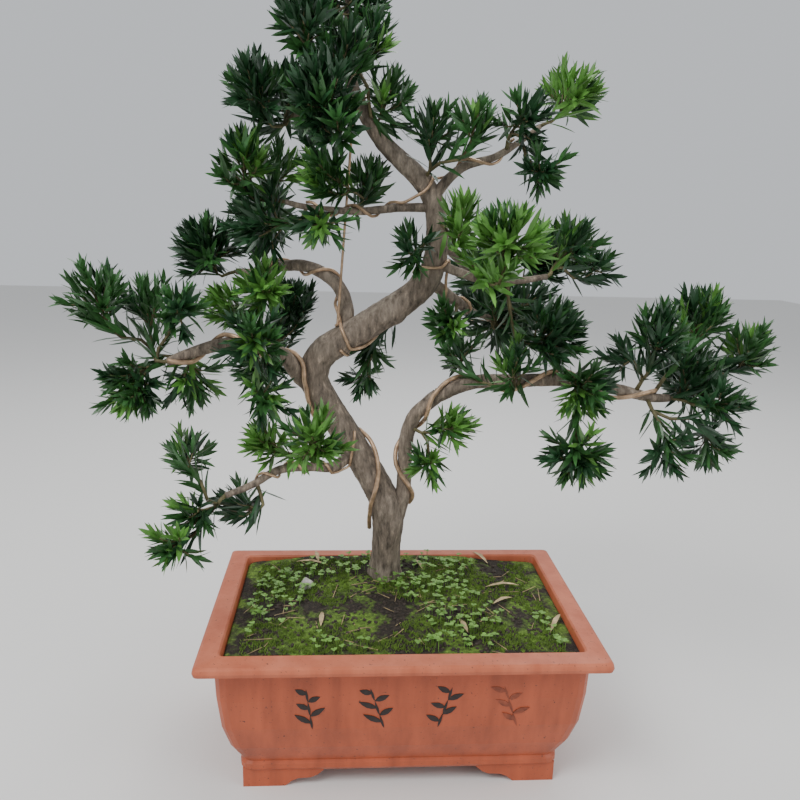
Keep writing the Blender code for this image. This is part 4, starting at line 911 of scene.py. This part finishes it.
def stems_at(mass, place, limbs, surfaces, lobes):
    """One stem for each lobe: points, radii and the direction it leaves in. The first starts at
    the limb and the others fork off it; each runs on as the middle shoot of its lobe."""
    limb_name, _, lift, _, _ = mass
    root, leaving = stem_root(limbs[limb_name], place, surfaces[limb_name], lobes[0].centre)
    thick = STEM_RADIUS
    if place is None:
        thick = min(STEM_RADIUS, limbs[limb_name].radii[-1] * 0.9)
    stems = []
    for lobe in lobes:
        hub, way = lobe_frame(lobe, root, lift)
        if not stems:
            hub = put_ahead(hub, root, leaving)
            points = main = swept(root, leaving, hub, way, STEM_STEPS)
        else:
            steps = [(b - a).normalized() for a, b in zip(main[1:], main[2:])]
            turns = [(hub - p).length - (hub - p).dot(step) * FORK_AHEAD
                     for p, step in zip(main[1:], steps)]
            k = turns.index(min(turns))
            leaving = steps[k]
            hub = put_ahead(hub, main[k + 1], leaving)
            points = swept(main[k + 1], leaving, hub, way, STEM_STEPS)
            thick = TWIG_RADIUS * 1.25
        end = shoot_end(lobe, way)
        radii = tapered(points + [end], thick, TWIG_RADIUS * 0.7)
        stems.append((points + [end], radii, leaving))
    return stems


def stems_of(mass, limbs, surfaces, standing, lobes):
    """The mass's stems, from its own place or the nearest one where they pass clear of the limbs,
    the wires and the stems that stand already."""
    place = mass[1]
    places = [place, *TIP_PLACES] if place is None else [
        min(LAST_PLACE, place + nudge) for nudge in NUDGES]
    for tried in places:
        stems = stems_at(mass, tried, limbs, surfaces, lobes)
        trees = [BVHTree.FromPolygons(*stem_tube(stem)) for stem in stems]
        if not any(tree.overlap(other) for tree in trees for other in standing):
            return stems
    return stems_at(mass, place, limbs, surfaces, lobes)


def stem_tube(stem):
    """Vertices and faces of a stem, its first section square to the direction it leaves in."""
    points, radii, leaving = stem
    return tube(points, radii, TWIG_SIDES, None, leaving)


def fanned(way, fan, k, count, angle):
    """The direction of one shoot of a fan that opens from the way ahead to the sides."""
    ahead = fan[0] - fan[1] * (k + 0.5) / count
    ring = math.sqrt(max(0.0, 1 - ahead * ahead))
    front, side = front_and_side(way)
    return way * ahead + around(front, side, angle) * ring


def twigs_of(lobe, hub, end, rng):
    """A lobe's side twigs, from low on its shoot to places spread over its growing side."""
    way = (end - hub).normalized()
    fork = hub.lerp(end, SIDE_FROM)
    count = round(lobe.litres() * TWIGS_PER_LITRE)
    turn = rng.random() * math.tau
    twigs = []
    for k in range(count):
        angle = turn + GOLDEN * k + rng.uniform(-TWIG_SWAY, TWIG_SWAY)
        spread = fanned(way, TWIG_FAN, k, count, angle)
        twigs.append((fork, lobe.toward(spread, TWIG_REACH * rng.uniform(*TWIG_REACHES))))
    return twigs


def node_surface(*names):
    """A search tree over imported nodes, about the middle of the pot's foot print."""
    vertices, faces = [], []
    for name in names:
        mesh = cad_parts[name].data
        start = len(vertices)
        vertices += [v.co - POT_CENTRE for v in mesh.vertices]
        faces += [[start + i for i in p.vertices] for p in mesh.polygons]
    return BVHTree.FromPolygons(vertices, faces)


def bark_tube(name, limb):
    """A limb's surface with ridges, grain and, on the trunk, knots and a root flare."""
    trunk = name == "trunk"
    sides = TRUNK_ROUND if trunk else BOUGH_ROUND
    shape = trunk_shape(limb)
    knots = KNOTS if trunk else ()
    length = limb.along[-1]

    def relief(i, angle):
        """The share of the radius, with the bark's relief."""
        point = limb.points[i]
        radius = limb.radii[i]
        spot = Vector((math.cos(angle) * radius, math.sin(angle) * radius,
                       limb.along[i] * BARK_STRETCH))
        ridge = abs(noise.noise(spot * RIDGE_SCALE + point * 3.0))
        grain = noise.noise(spot * GRAIN_SCALE + point * 5.0)
        reach = shape(i, angle) if trunk else 1.0
        swell = sum(size * math.exp(-((limb.along[i] - share * length) / KNOT_LENGTH) ** 2)
                    * max(0.0, math.cos(angle - math.radians(turn))) ** 3
                    for share, turn, size in knots)
        rough = (RIDGE_MIDDLE - ridge) * BARK_RIDGE + grain * BARK_GRAIN
        return reach + rough * min(1.0, radius / FULL_RELIEF_RADIUS) / radius + swell / radius

    return tube(limb.points, limb.radii, sides, relief, UP if trunk else None)


def leaf_mesh(root, tip, axis, width, arch):
    """A closed narrow leaf, folded along its midrib and arched."""
    along = (tip - root).normalized()
    side = along.cross(axis)
    side = side.normalized() if side.length > 1e-3 else along.orthogonal().normalized()
    up = side.cross(along)
    length = (tip - root).length
    vertices = [root - along * LEAF_SINK]
    for share, wide in LEAF_STATIONS:
        middle = root + along * length * share + up * arch * length * math.sin(math.pi * share)
        half = side * width / 2 * wide
        fold = up * width * LEAF_FOLD * wide
        vertices += [middle - half + fold, middle + up * LEAF_THICK / 2, middle + half + fold,
                     middle - up * LEAF_THICK / 2]
    vertices.append(tip)
    faces = [(0, 1 + (k + 1) % 4, 1 + k) for k in range(4)]
    for row in (1, 5):
        faces += [(row + k, row + (k + 1) % 4, row + 4 + (k + 1) % 4, row + 4 + k) for k in range(4)]
    faces += [(9 + k, 9 + (k + 1) % 4, 13) for k in range(4)]
    return vertices, faces


def spray_of(lobe, hub, way, k, count, rng):
    """One fine shoot: a gently curved line from near the hub into the lobe."""
    angle = GOLDEN * k + rng.uniform(-SPRAY_SWAY, SPRAY_SWAY)
    spread = fanned(way, SPRAY_FAN, k, count, angle)
    end = lobe.toward(spread, SPRAY_REACH * rng.uniform(*SPRAY_REACHES))
    start = hub.lerp(lobe.centre, rng.uniform(*SPRAY_STARTS))
    arriving = (end - start).normalized() * 0.8 + UP * rng.uniform(*SPRAY_RISES)
    return swept(start, (way + spread).normalized(), end, arriving.normalized(), SPRAY_STEPS)


def leaves_on(line, lobe, rng, wood, leaf_length, leaf_width, least=LEAF_ROOM_LEAST):
    """Leaves in a spiral along a shoot, longest at its middle, each kept to its lobe."""
    turned = frames(line)
    lengths = [(b - a).length for a, b in zip(line, line[1:])]
    total = sum(lengths)
    count = max(6, round(total / LEAF_STEP))
    leaves = []
    start = rng.random() * math.tau
    for j in range(count + 3):
        share = min(1.0, LEAF_START + LEAF_RUN * (j + rng.random() * 0.5) / count)
        target, i = share * total, 0
        while i < len(lengths) - 1 and target > lengths[i]:
            target -= lengths[i]
            i += 1
        root = line[i].lerp(line[i + 1], min(1.0, target / lengths[i]))
        axis, across = turned[i + 1]
        side = axis.cross(across)
        angle = start + GOLDEN * j
        opening = math.radians(LEAF_OPEN[0] + (LEAF_OPEN[1] - LEAF_OPEN[0]) * share
                               + rng.uniform(-LEAF_SWAY, LEAF_SWAY))
        direction = around(axis, around(across, side, angle), opening).normalized()
        room = max(least, lobe.way_out(root, direction) * LOBE_SLACK)
        length = min(leaf_length * rng.uniform(*LEAF_LENGTHS), room)
        if length < LEAF_SHORTEST:
            continue
        if wood.ray_cast(root + direction * WOOD_CLEAR, direction, length)[0] is not None:
            continue
        width = leaf_width * (0.60 + 0.40 * length / leaf_length) * rng.uniform(*LEAF_WIDTHS)
        leaves.append(leaf_mesh(root, root + direction * length, axis, width,
                                LEAF_ARCH * rng.uniform(*LEAF_ARCHES)))
    return leaves


def tone_for(name, rng):
    """The tone that a spray is dealt."""
    if name == YELLOW_MASS and rng.random() < YELLOW_SHARE:
        return "yellow"
    draw = rng.random()
    for tone, share in TONE_SHARES[MASSES[name][3]]:
        draw -= share
        if draw <= 0:
            return tone
    return TONE_SHARES[MASSES[name][3]][-1][0]


def surface_height(x, y, foot):
    """Height of the soil at a place: low at the walls, mounded round the trunk's foot."""
    half = (BODY_HALF[0] - WALL, BODY_HALF[1] - WALL)
    share = max(abs(x - foot.x) / (half[0] + abs(foot.x)), abs(y - foot.y) / (half[1] + abs(foot.y)))
    climb = max(0.0, min(1.0, (1 - share) / (1 - SOIL_PLATEAU)))
    climb = climb * climb * (3 - 2 * climb)
    lumps = noise.noise(Vector((x, y, 0.3)) * SOIL_LUMPS)
    rough = lumps + 0.5 * noise.noise(Vector((x, y, 0.9)) * SOIL_CRUMBS)
    return SOIL_EDGE_Z + (SOIL_TOP_Z - SOIL_EDGE_Z) * climb + rough * SOIL_ROUGH * min(1.0, climb * 6)


def in_patch(spot, layer, scale, least):
    """Whether a place lies in one of a layer's patches."""
    return noise.noise(Vector((spot.x, spot.y, layer)) * scale) > least


# Sizes and colours that a user would change

def length_setting(label, about, default, least, most):
    """A length among the settings."""
    return bpy.props.FloatProperty(
        name=label, description=about, default=default, min=least, max=most, unit="LENGTH")


def colour_setting(label, about, default):
    """A colour among the settings."""
    return bpy.props.FloatVectorProperty(
        name=label, description=about, default=default, subtype="COLOR", min=0.0, max=1.0)


class BonsaiSettings(bpy.types.PropertyGroup):
    """Sizes and colours of the bonsai's looks."""

    leaf_length: length_setting("Leaf length", "Length of the longest leaves", 0.054, 0.03, 0.08)
    leaf_width: length_setting("Leaf width", "Width of the widest leaves", 0.0071, 0.004, 0.014)
    clay_colour: colour_setting("Clay", "Colour of the fired clay", (0.42, 0.088, 0.034))
    soil_colour: colour_setting("Soil", "Colour of the moist soil", (0.030, 0.022, 0.015))
    moss_colour: colour_setting("Moss", "Colour of the moss", (0.12, 0.21, 0.026))
    bark_colour: colour_setting("Bark", "Colour of the bark", (0.24, 0.19, 0.145))
    wire_colour: colour_setting("Wire", "Colour of the training wire", (0.52, 0.35, 0.22))
    # Old leaves' colour, also painted shade; young leaves' colour, also painted light.
    dark_colour: colour_setting("Old leaves", "Colour of the old leaves", (0.018, 0.060, 0.022))
    mid_colour: colour_setting("Leaves", "Colour of most leaves", (0.034, 0.110, 0.028))
    young_colour: colour_setting("Young leaves", "Colour of the young leaves", (0.10, 0.25, 0.045))
    yellow_colour: colour_setting("Turning leaves", "Colour of the turning leaves", (0.60, 0.47, 0.06))
    ink_colour: colour_setting("Brush paint", "Colour of the sprigs on the pot", (0.022, 0.014, 0.012))


def settings():
    """The settings of the open scene."""
    return bpy.context.scene.bonsai_settings


class BONSAI_OT_pot(bpy.types.Operator):
    """Finish the pot and paint the row of leaf sprigs on its front"""
    bl_idname = "bonsai.pot"
    bl_label = "Pot"

    def execute(self, context):
        values = settings()
        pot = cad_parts["pot"]
        pot.data.materials.clear()
        pot.data.materials.append(clay_material(values.clay_colour))
        rng = random.Random(POT_SEED)
        full, faded = Gather(), Gather()
        for middle, strength in SPRIGS:
            self.sprig(full if strength == 1.0 else faded, middle, rng)
        full.piece("pot_sprigs", grain_material("ink", values.ink_colour, INK_ROUGHNESS), "ink")
        faint = tuple(0.45 * a + 0.55 * b for a, b in zip(values.ink_colour, values.clay_colour))
        faded.piece("pot_sprig_faded", grain_material("ink_faded", faint, INK_ROUGHNESS), "ink")
        return {"FINISHED"}

    def sprig(self, gather, middle, rng):
        """One brush sprig: a slanting stem with leaves on both sides."""
        low, high = SPRIG_Z
        lean = rng.uniform(-0.010, 0.010)
        stem = [(middle - lean + 2 * lean * t, low + (high - low) * t) for t in (0, 0.35, 0.7, 1)]
        for (xa, za), (xb, zb) in zip(stem, stem[1:]):
            self.stroke(gather, xa, za, xb, zb, STROKE_WIDTHS[0])
        for k in range(SPRIG_LEAVES):
            t = 0.16 + 0.18 * k
            x, z = middle - lean + 2 * lean * t, low + (high - low) * t
            turn = (1 if k % 2 else -1) * rng.uniform(0.8, 1.2)
            reach = rng.uniform(0.018, 0.026) * (1.1 - 0.3 * t)
            self.stroke(gather, x, z, x + math.sin(turn) * reach,
                        z + math.cos(turn) * reach * 0.75, STROKE_WIDTHS[1])

    def stroke(self, gather, xa, za, xb, zb, width):
        """One brush stroke, pointed at both ends, as a thin raised shape that follows the wall."""
        along = Vector((xb - xa, zb - za))
        across = Vector((-along.y, along.x)).normalized()
        near, far = [], []
        for t, wide in STROKE_OUTLINE:
            spot = Vector((xa, za)) + along * t + across * wide * width / 2
            wall = -(BODY_HALF[1] - body_inset(spot.y))
            near.append(Vector((spot.x, wall - SPRIG_RAISE, spot.y)))
            far.append(Vector((spot.x, wall + SPRIG_SINK, spot.y)))
        n = len(near)
        faces = [tuple(range(n)), tuple(reversed(range(n, 2 * n)))]
        faces += [(k, k + n, (k + 1) % n + n, (k + 1) % n) for k in range(n)]
        gather.add(near + far, faces)


class BONSAI_OT_wood(bpy.types.Operator):
    """Make the trunk and the boughs with the relief of their bark"""
    bl_idname = "bonsai.wood"
    bl_label = "Trunk and boughs"

    def execute(self, context):
        bark = bark_material(settings().bark_colour)
        for name, stations in LIMBS.items():
            gather = Gather()
            gather.add(*bark_tube(name, Limb(stations, BARK_STEP)))
            gather.piece("bark_" + name, bark, "bark", [name], smooth=True)
        return {"FINISHED"}


class BONSAI_OT_wires(bpy.types.Operator):
    """Wind the training wires and the tie"""
    bl_idname = "bonsai.wires"
    bl_label = "Training wires"

    def execute(self, context):
        finish = grain_material("wire", settings().wire_colour, 0.42, 0.45)
        limbs = {name: Limb(stations) for name, stations in LIMBS.items()}
        surface = node_surface(*LIMBS)
        for name, (radius, legs) in {**WIRES, "tie_wire": (TIE_RADIUS, tie_legs())}.items():
            points = wire_points(limbs, legs, radius, surface)
            gather = Gather()
            gather.add(*tube(points, [radius] * len(points), WIRE_ROUND))
            gather.piece("fine_" + name, finish, "wire", [name], smooth=True)
        return {"FINISHED"}


class BONSAI_OT_foliage(bpy.types.Operator):
    """Grow the masses of foliage on from the limbs, by the source's rule, with fine leaves"""
    bl_idname = "bonsai.foliage"
    bl_label = "Foliage"

    def execute(self, context):
        values = settings()
        tones = {tone: leaf_material("leaf_" + tone, getattr(values, tone + "_colour"))
                 for tone in ("dark", "mid", "young", "yellow")}
        twig_finish = grain_material("twig", *FINISHES["twig"])
        limbs = {name: Limb(stations) for name, stations in LIMBS.items()}
        surfaces = {name: node_surface(name) for name in LIMBS}
        wood = node_surface(*LIMBS, *WIRES, "tie_wire")
        standing, stems = [wood], {}
        lobes = [Lobe(name, row) for name, mass in MASSES.items() for row in mass[4]]
        for name, mass in MASSES.items():
            own = [lobe for lobe in lobes if lobe.owner == name]
            stems[name] = stems_of(mass, limbs, surfaces, standing, own)
            standing += [BVHTree.FromPolygons(*stem_tube(stem)) for stem in stems[name]]
        bark = node_surface(*LIMBS)
        seeds = {name: seed for seed, name in enumerate(MASSES, start=11)}
        for region, names in REGIONS.items():
            twigs = Gather()
            leaves = {tone: Gather() for tone in tones}
            for name in names:
                own = [lobe for lobe in lobes if lobe.owner == name]
                for number, lobe in enumerate(own):
                    rng = random.Random(seeds[name] * 100 + number)
                    self.grow(name, lobe, stems[name][number], rng, twigs, leaves, bark, values)
            nodes = ["foliage_" + name for name in names]
            twigs.piece("twigs_" + region, twig_finish, "twig", nodes, smooth=True)
            for tone, gather in leaves.items():
                if gather.faces:
                    gather.piece("leaves_" + region + "_" + tone, tones[tone], "leaf_" + tone)
        return {"FINISHED"}

    def grow(self, name, lobe, stem, rng, twigs, leaves, wood, values):
        """A lobe's stem, its shoots and their leaves, put into the region's twigs and leaves."""
        points, radii, leaving = stem
        twigs.add(*tube(points, radii, STEM_SIDES, None, leaving))
        hub, end = points[-2:]
        way = (end - hub).normalized()
        lines = [[a, a.lerp(b, 0.5), b] for a, b in [(hub, end), *twigs_of(lobe, hub, end, rng)]]
        count = max(SPRAYS_LEAST, round(lobe.litres() * SPRAYS_PER_LITRE))
        lines += [spray_of(lobe, hub, way, k, count, rng) for k in range(count)]
        own = leaves[tone_for(name, rng)]
        for leaf in leaves_on(points[:-1], lobe, rng, wood, values.leaf_length, values.leaf_width,
                              STEM_LEAF_ROOM):
            own.add(*leaf)
        for k, line in enumerate(lines):
            if k:
                twigs.add(*tube(line, tapered(line, SIDE_RADIUS, SIDE_RADIUS * 0.6), SPRAY_SIDES))
            gather = leaves[tone_for(name, rng)]
            for leaf in leaves_on(line, lobe, rng, wood, values.leaf_length, values.leaf_width):
                gather.add(*leaf)


class BONSAI_OT_soil(bpy.types.Operator):
    """Make the soil's surface with moss, seedlings, grains, straw and fallen leaves"""
    bl_idname = "bonsai.soil"
    bl_label = "Soil and its cover"

    def execute(self, context):
        values = settings()
        foot = Vector(LIMBS["trunk"][0][:3])
        self.ground(foot, soil_material(values.soil_colour, values.moss_colour))
        rng = random.Random(SOIL_SEED)
        grains, moss, seedlings, straws, dead, pebble = (Gather() for _ in range(6))
        for _ in range(GRAINS):
            self.grain(grains, self.spot(foot, rng), rng.uniform(*GRAIN_SIZES), rng)
        for _ in range(MOSS_TUFTS):
            spot = self.spot(foot, rng)
            if in_patch(spot, *MOSS_PATCHES):
                self.tuft(moss, spot, rng)
        for _ in range(SEEDLINGS):
            spot = self.spot(foot, rng)
            if in_patch(spot, *SEEDLING_PATCHES):
                self.seedling(seedlings, spot, rng)
        for _ in range(STRAWS):
            spot = self.spot(foot, rng) + UP * 0.0012
            turn = rng.uniform(0, math.tau)
            reach = Vector((math.cos(turn), math.sin(turn), rng.uniform(-0.03, 0.10)))
            straws.add(*tube([spot, spot + reach * rng.uniform(*STRAW_LENGTHS)], STRAW_RADII, 5))
        for _ in range(DEAD_LEAVES):
            spot = self.spot(foot, rng) + UP * 0.0020
            turn = rng.uniform(0, math.tau)
            tip = spot + Vector((math.cos(turn), math.sin(turn), 0.04)) * rng.uniform(*DEAD_LENGTHS)
            dead.add(*leaf_mesh(spot, tip, UP, DEAD_WIDTH, DEAD_ARCH))
        x, y = PEBBLE_PLACE
        self.grain(pebble, Vector((x, y, surface_height(x, y, foot) + 0.003)), PEBBLE_SIZE, rng)
        finishes = {**FINISHES, "moss": (values.moss_colour, MOSS_ROUGHNESS)}
        for gather, name, finish, slot in ((grains, "soil_grains", "grain", "pebble"),
                                           (moss, "moss_tufts", "moss", "moss"),
                                           (seedlings, "seedlings", "seedling", "moss"),
                                           (straws, "straw_bits", "straw", "straw"),
                                           (dead, "fallen_leaves", "fallen", "straw"),
                                           (pebble, "pale_pebble", "pebble", "pebble")):
            gather.piece(name, grain_material(finish, *finishes[finish]), slot,
                         smooth=gather is pebble)
        return {"FINISHED"}

    def ground(self, foot, finish):
        """The soil's body with an uneven surface."""
        rings = []
        for i in range(SOIL_RINGS):
            z = SOIL_FOOT_Z + (SOIL_EDGE_Z - BODY_FOOT_Z) * i / (SOIL_RINGS - 1)
            back = WALL + SOIL_GAP + body_inset(z)
            rings.append(rounded_ring(BODY_HALF[0] - back, BODY_HALF[1] - back, SOIL_CORNER, z))
        rings = self.filled(rings)
        edge = rings[-1]
        for k in range(1, SOIL_SHARES):
            share = 1 - k / SOIL_SHARES
            ring = []
            for p in edge:
                x, y = foot.x + (p.x - foot.x) * share, foot.y + (p.y - foot.y) * share
                ring.append(Vector((x, y, surface_height(x, y, foot))))
            rings.append(ring)
        gather = Gather()
        gather.add(*loft(rings))
        gather.piece("soil_ground", finish, "soil", ["soil"], smooth=True)

    def filled(self, rings):
        """The rings with more points along their sides, as many on each."""
        last = rings[-1]
        counts = [max(1, round((b - a).length / SOIL_POINT_STEP))
                  for a, b in zip(last, last[1:] + last[:1])]
        return [[a.lerp(b, i / count) for a, b, count in zip(ring, ring[1:] + ring[:1], counts)
                 for i in range(count)] for ring in rings]

    def spot(self, foot, rng):
        """A place on the soil's surface."""
        x = rng.uniform(-1, 1) * (BODY_HALF[0] - WALL - COVER_BACK) * COVER_EDGE
        y = rng.uniform(-1, 1) * (BODY_HALF[1] - WALL - COVER_BACK) * COVER_EDGE
        return Vector((x, y, surface_height(x, y, foot)))

    def grain(self, gather, spot, size, rng):
        """A small uneven stone of twenty faces."""
        ball = bmesh.new()
        bmesh.ops.create_icosphere(ball, subdivisions=1, radius=size)
        gather.add([spot + v.co * rng.uniform(0.7, 1.15) for v in ball.verts],
                   [tuple(v.index for v in face.verts) for face in ball.faces])
        ball.free()

    def tuft(self, gather, spot, rng):
        """A tuft of short moss shoots."""
        for _ in range(TUFT_SHOOTS):
            lean = Vector((rng.uniform(-0.6, 0.6), rng.uniform(-0.6, 0.6), 1)).normalized()
            base = spot + Vector((rng.uniform(-1, 1), rng.uniform(-1, 1), -0.3)) * TUFT_SPREAD
            gather.add(*tube([base, base + lean * rng.uniform(*TUFT_LENGTHS)], TUFT_RADII, 3))

    def seedling(self, gather, spot, rng):
        """A seedling: a short stalk with three round leaves."""
        top = spot + UP * rng.uniform(*STALK_LENGTHS)
        gather.add(*tube([spot - UP * 0.001, top], STALK_RADII, 4))
        turn = rng.uniform(0, math.tau)
        for k in range(3):
            angle = turn + math.tau * k / 3
            out = Vector((math.cos(angle), math.sin(angle), rng.uniform(0.1, 0.4))).normalized()
            size = rng.uniform(*SEEDLING_LEAVES)
            gather.add(*leaf_mesh(top, top + out * size, UP, size * 0.95, 0.04))


class BONSAI_OT_stage(bpy.types.Operator):
    """Set the floor, the lights and the camera"""
    bl_idname = "bonsai.stage"
    bl_label = "Stage"

    def execute(self, context):
        floor_mesh = bpy.data.meshes.new("floor")
        floor_mesh.from_pydata([(-4, -4, 0), (4, -4, 0), (4, 6, 0), (-4, 6, 0)], [], [(0, 1, 2, 3)])
        floor = placed("floor", floor_mesh)
        material, shader = fresh_material("floor")
        shader.inputs["Base Color"].default_value = FLOOR_COLOUR
        shader.inputs["Roughness"].default_value = 0.9
        floor_mesh.materials.append(material)
        world = bpy.data.worlds.new("studio")
        world.use_nodes = True
        back = world.node_tree.nodes["Background"]
        back.inputs["Color"].default_value = STUDIO_COLOUR
        back.inputs["Strength"].default_value = STUDIO_STRENGTH
        bpy.context.scene.world = world
        for name, place, size, energy in LIGHTS:
            light = bpy.data.lights.new(name, "AREA")
            light.energy = energy
            light.size = size
            lamp = placed(name, light)
            lamp.location = place
            aim = Vector(LIGHTS_AIM) - lamp.location
            lamp.rotation_euler = aim.to_track_quat("-Z", "Y").to_euler()
        data = bpy.data.cameras.new("camera")
        data.sensor_width = SENSOR
        data.lens = SENSOR * FOCAL_SHARE
        data.shift_x = SHIFT_X
        data.clip_start = 0.01
        camera = placed("camera", data)
        right, up, forward = Vector(CAMERA_RIGHT), Vector(CAMERA_UP), Vector(CAMERA_FORWARD)
        turn = Matrix((right, up, -forward)).transposed()
        camera.matrix_world = Matrix.Translation(Vector(CAMERA_PLACE) + POT_CENTRE) @ turn.to_4x4()
        bpy.context.scene.camera = camera
        return {"FINISHED"}


class BONSAI_PT_panel(bpy.types.Panel):
    """The bonsai's sizes, colours and steps"""
    bl_idname = "BONSAI_PT_panel"
    bl_label = "Bonsai"
    bl_space_type = "VIEW_3D"
    bl_region_type = "UI"
    bl_category = "Bonsai"

    def draw(self, context):
        layout = self.layout
        for key in BonsaiSettings.__annotations__:
            layout.prop(context.scene.bonsai_settings, key)
        for operator in OPERATORS:
            layout.operator(operator.bl_idname)


OPERATORS = (BONSAI_OT_pot, BONSAI_OT_soil, BONSAI_OT_wood, BONSAI_OT_wires, BONSAI_OT_foliage,
             BONSAI_OT_stage)
CLASSES = (BonsaiSettings, *OPERATORS, BONSAI_PT_panel)


def register():
    """Add the operators, the panel and the settings."""
    for entry in CLASSES:
        bpy.utils.register_class(entry)
    bpy.types.Scene.bonsai_settings = bpy.props.PointerProperty(type=BonsaiSettings)


def unregister():
    """Take them away again."""
    del bpy.types.Scene.bonsai_settings
    for entry in reversed(CLASSES):
        bpy.utils.unregister_class(entry)


def main():
    """Dress the bonsai step by step."""
    register()
    bpy.ops.bonsai.pot()
    bpy.ops.bonsai.soil()
    bpy.ops.bonsai.wood()
    bpy.ops.bonsai.wires()
    bpy.ops.bonsai.foliage()
    bpy.ops.bonsai.stage()
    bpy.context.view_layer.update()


if __name__ == "__main__":
    main()
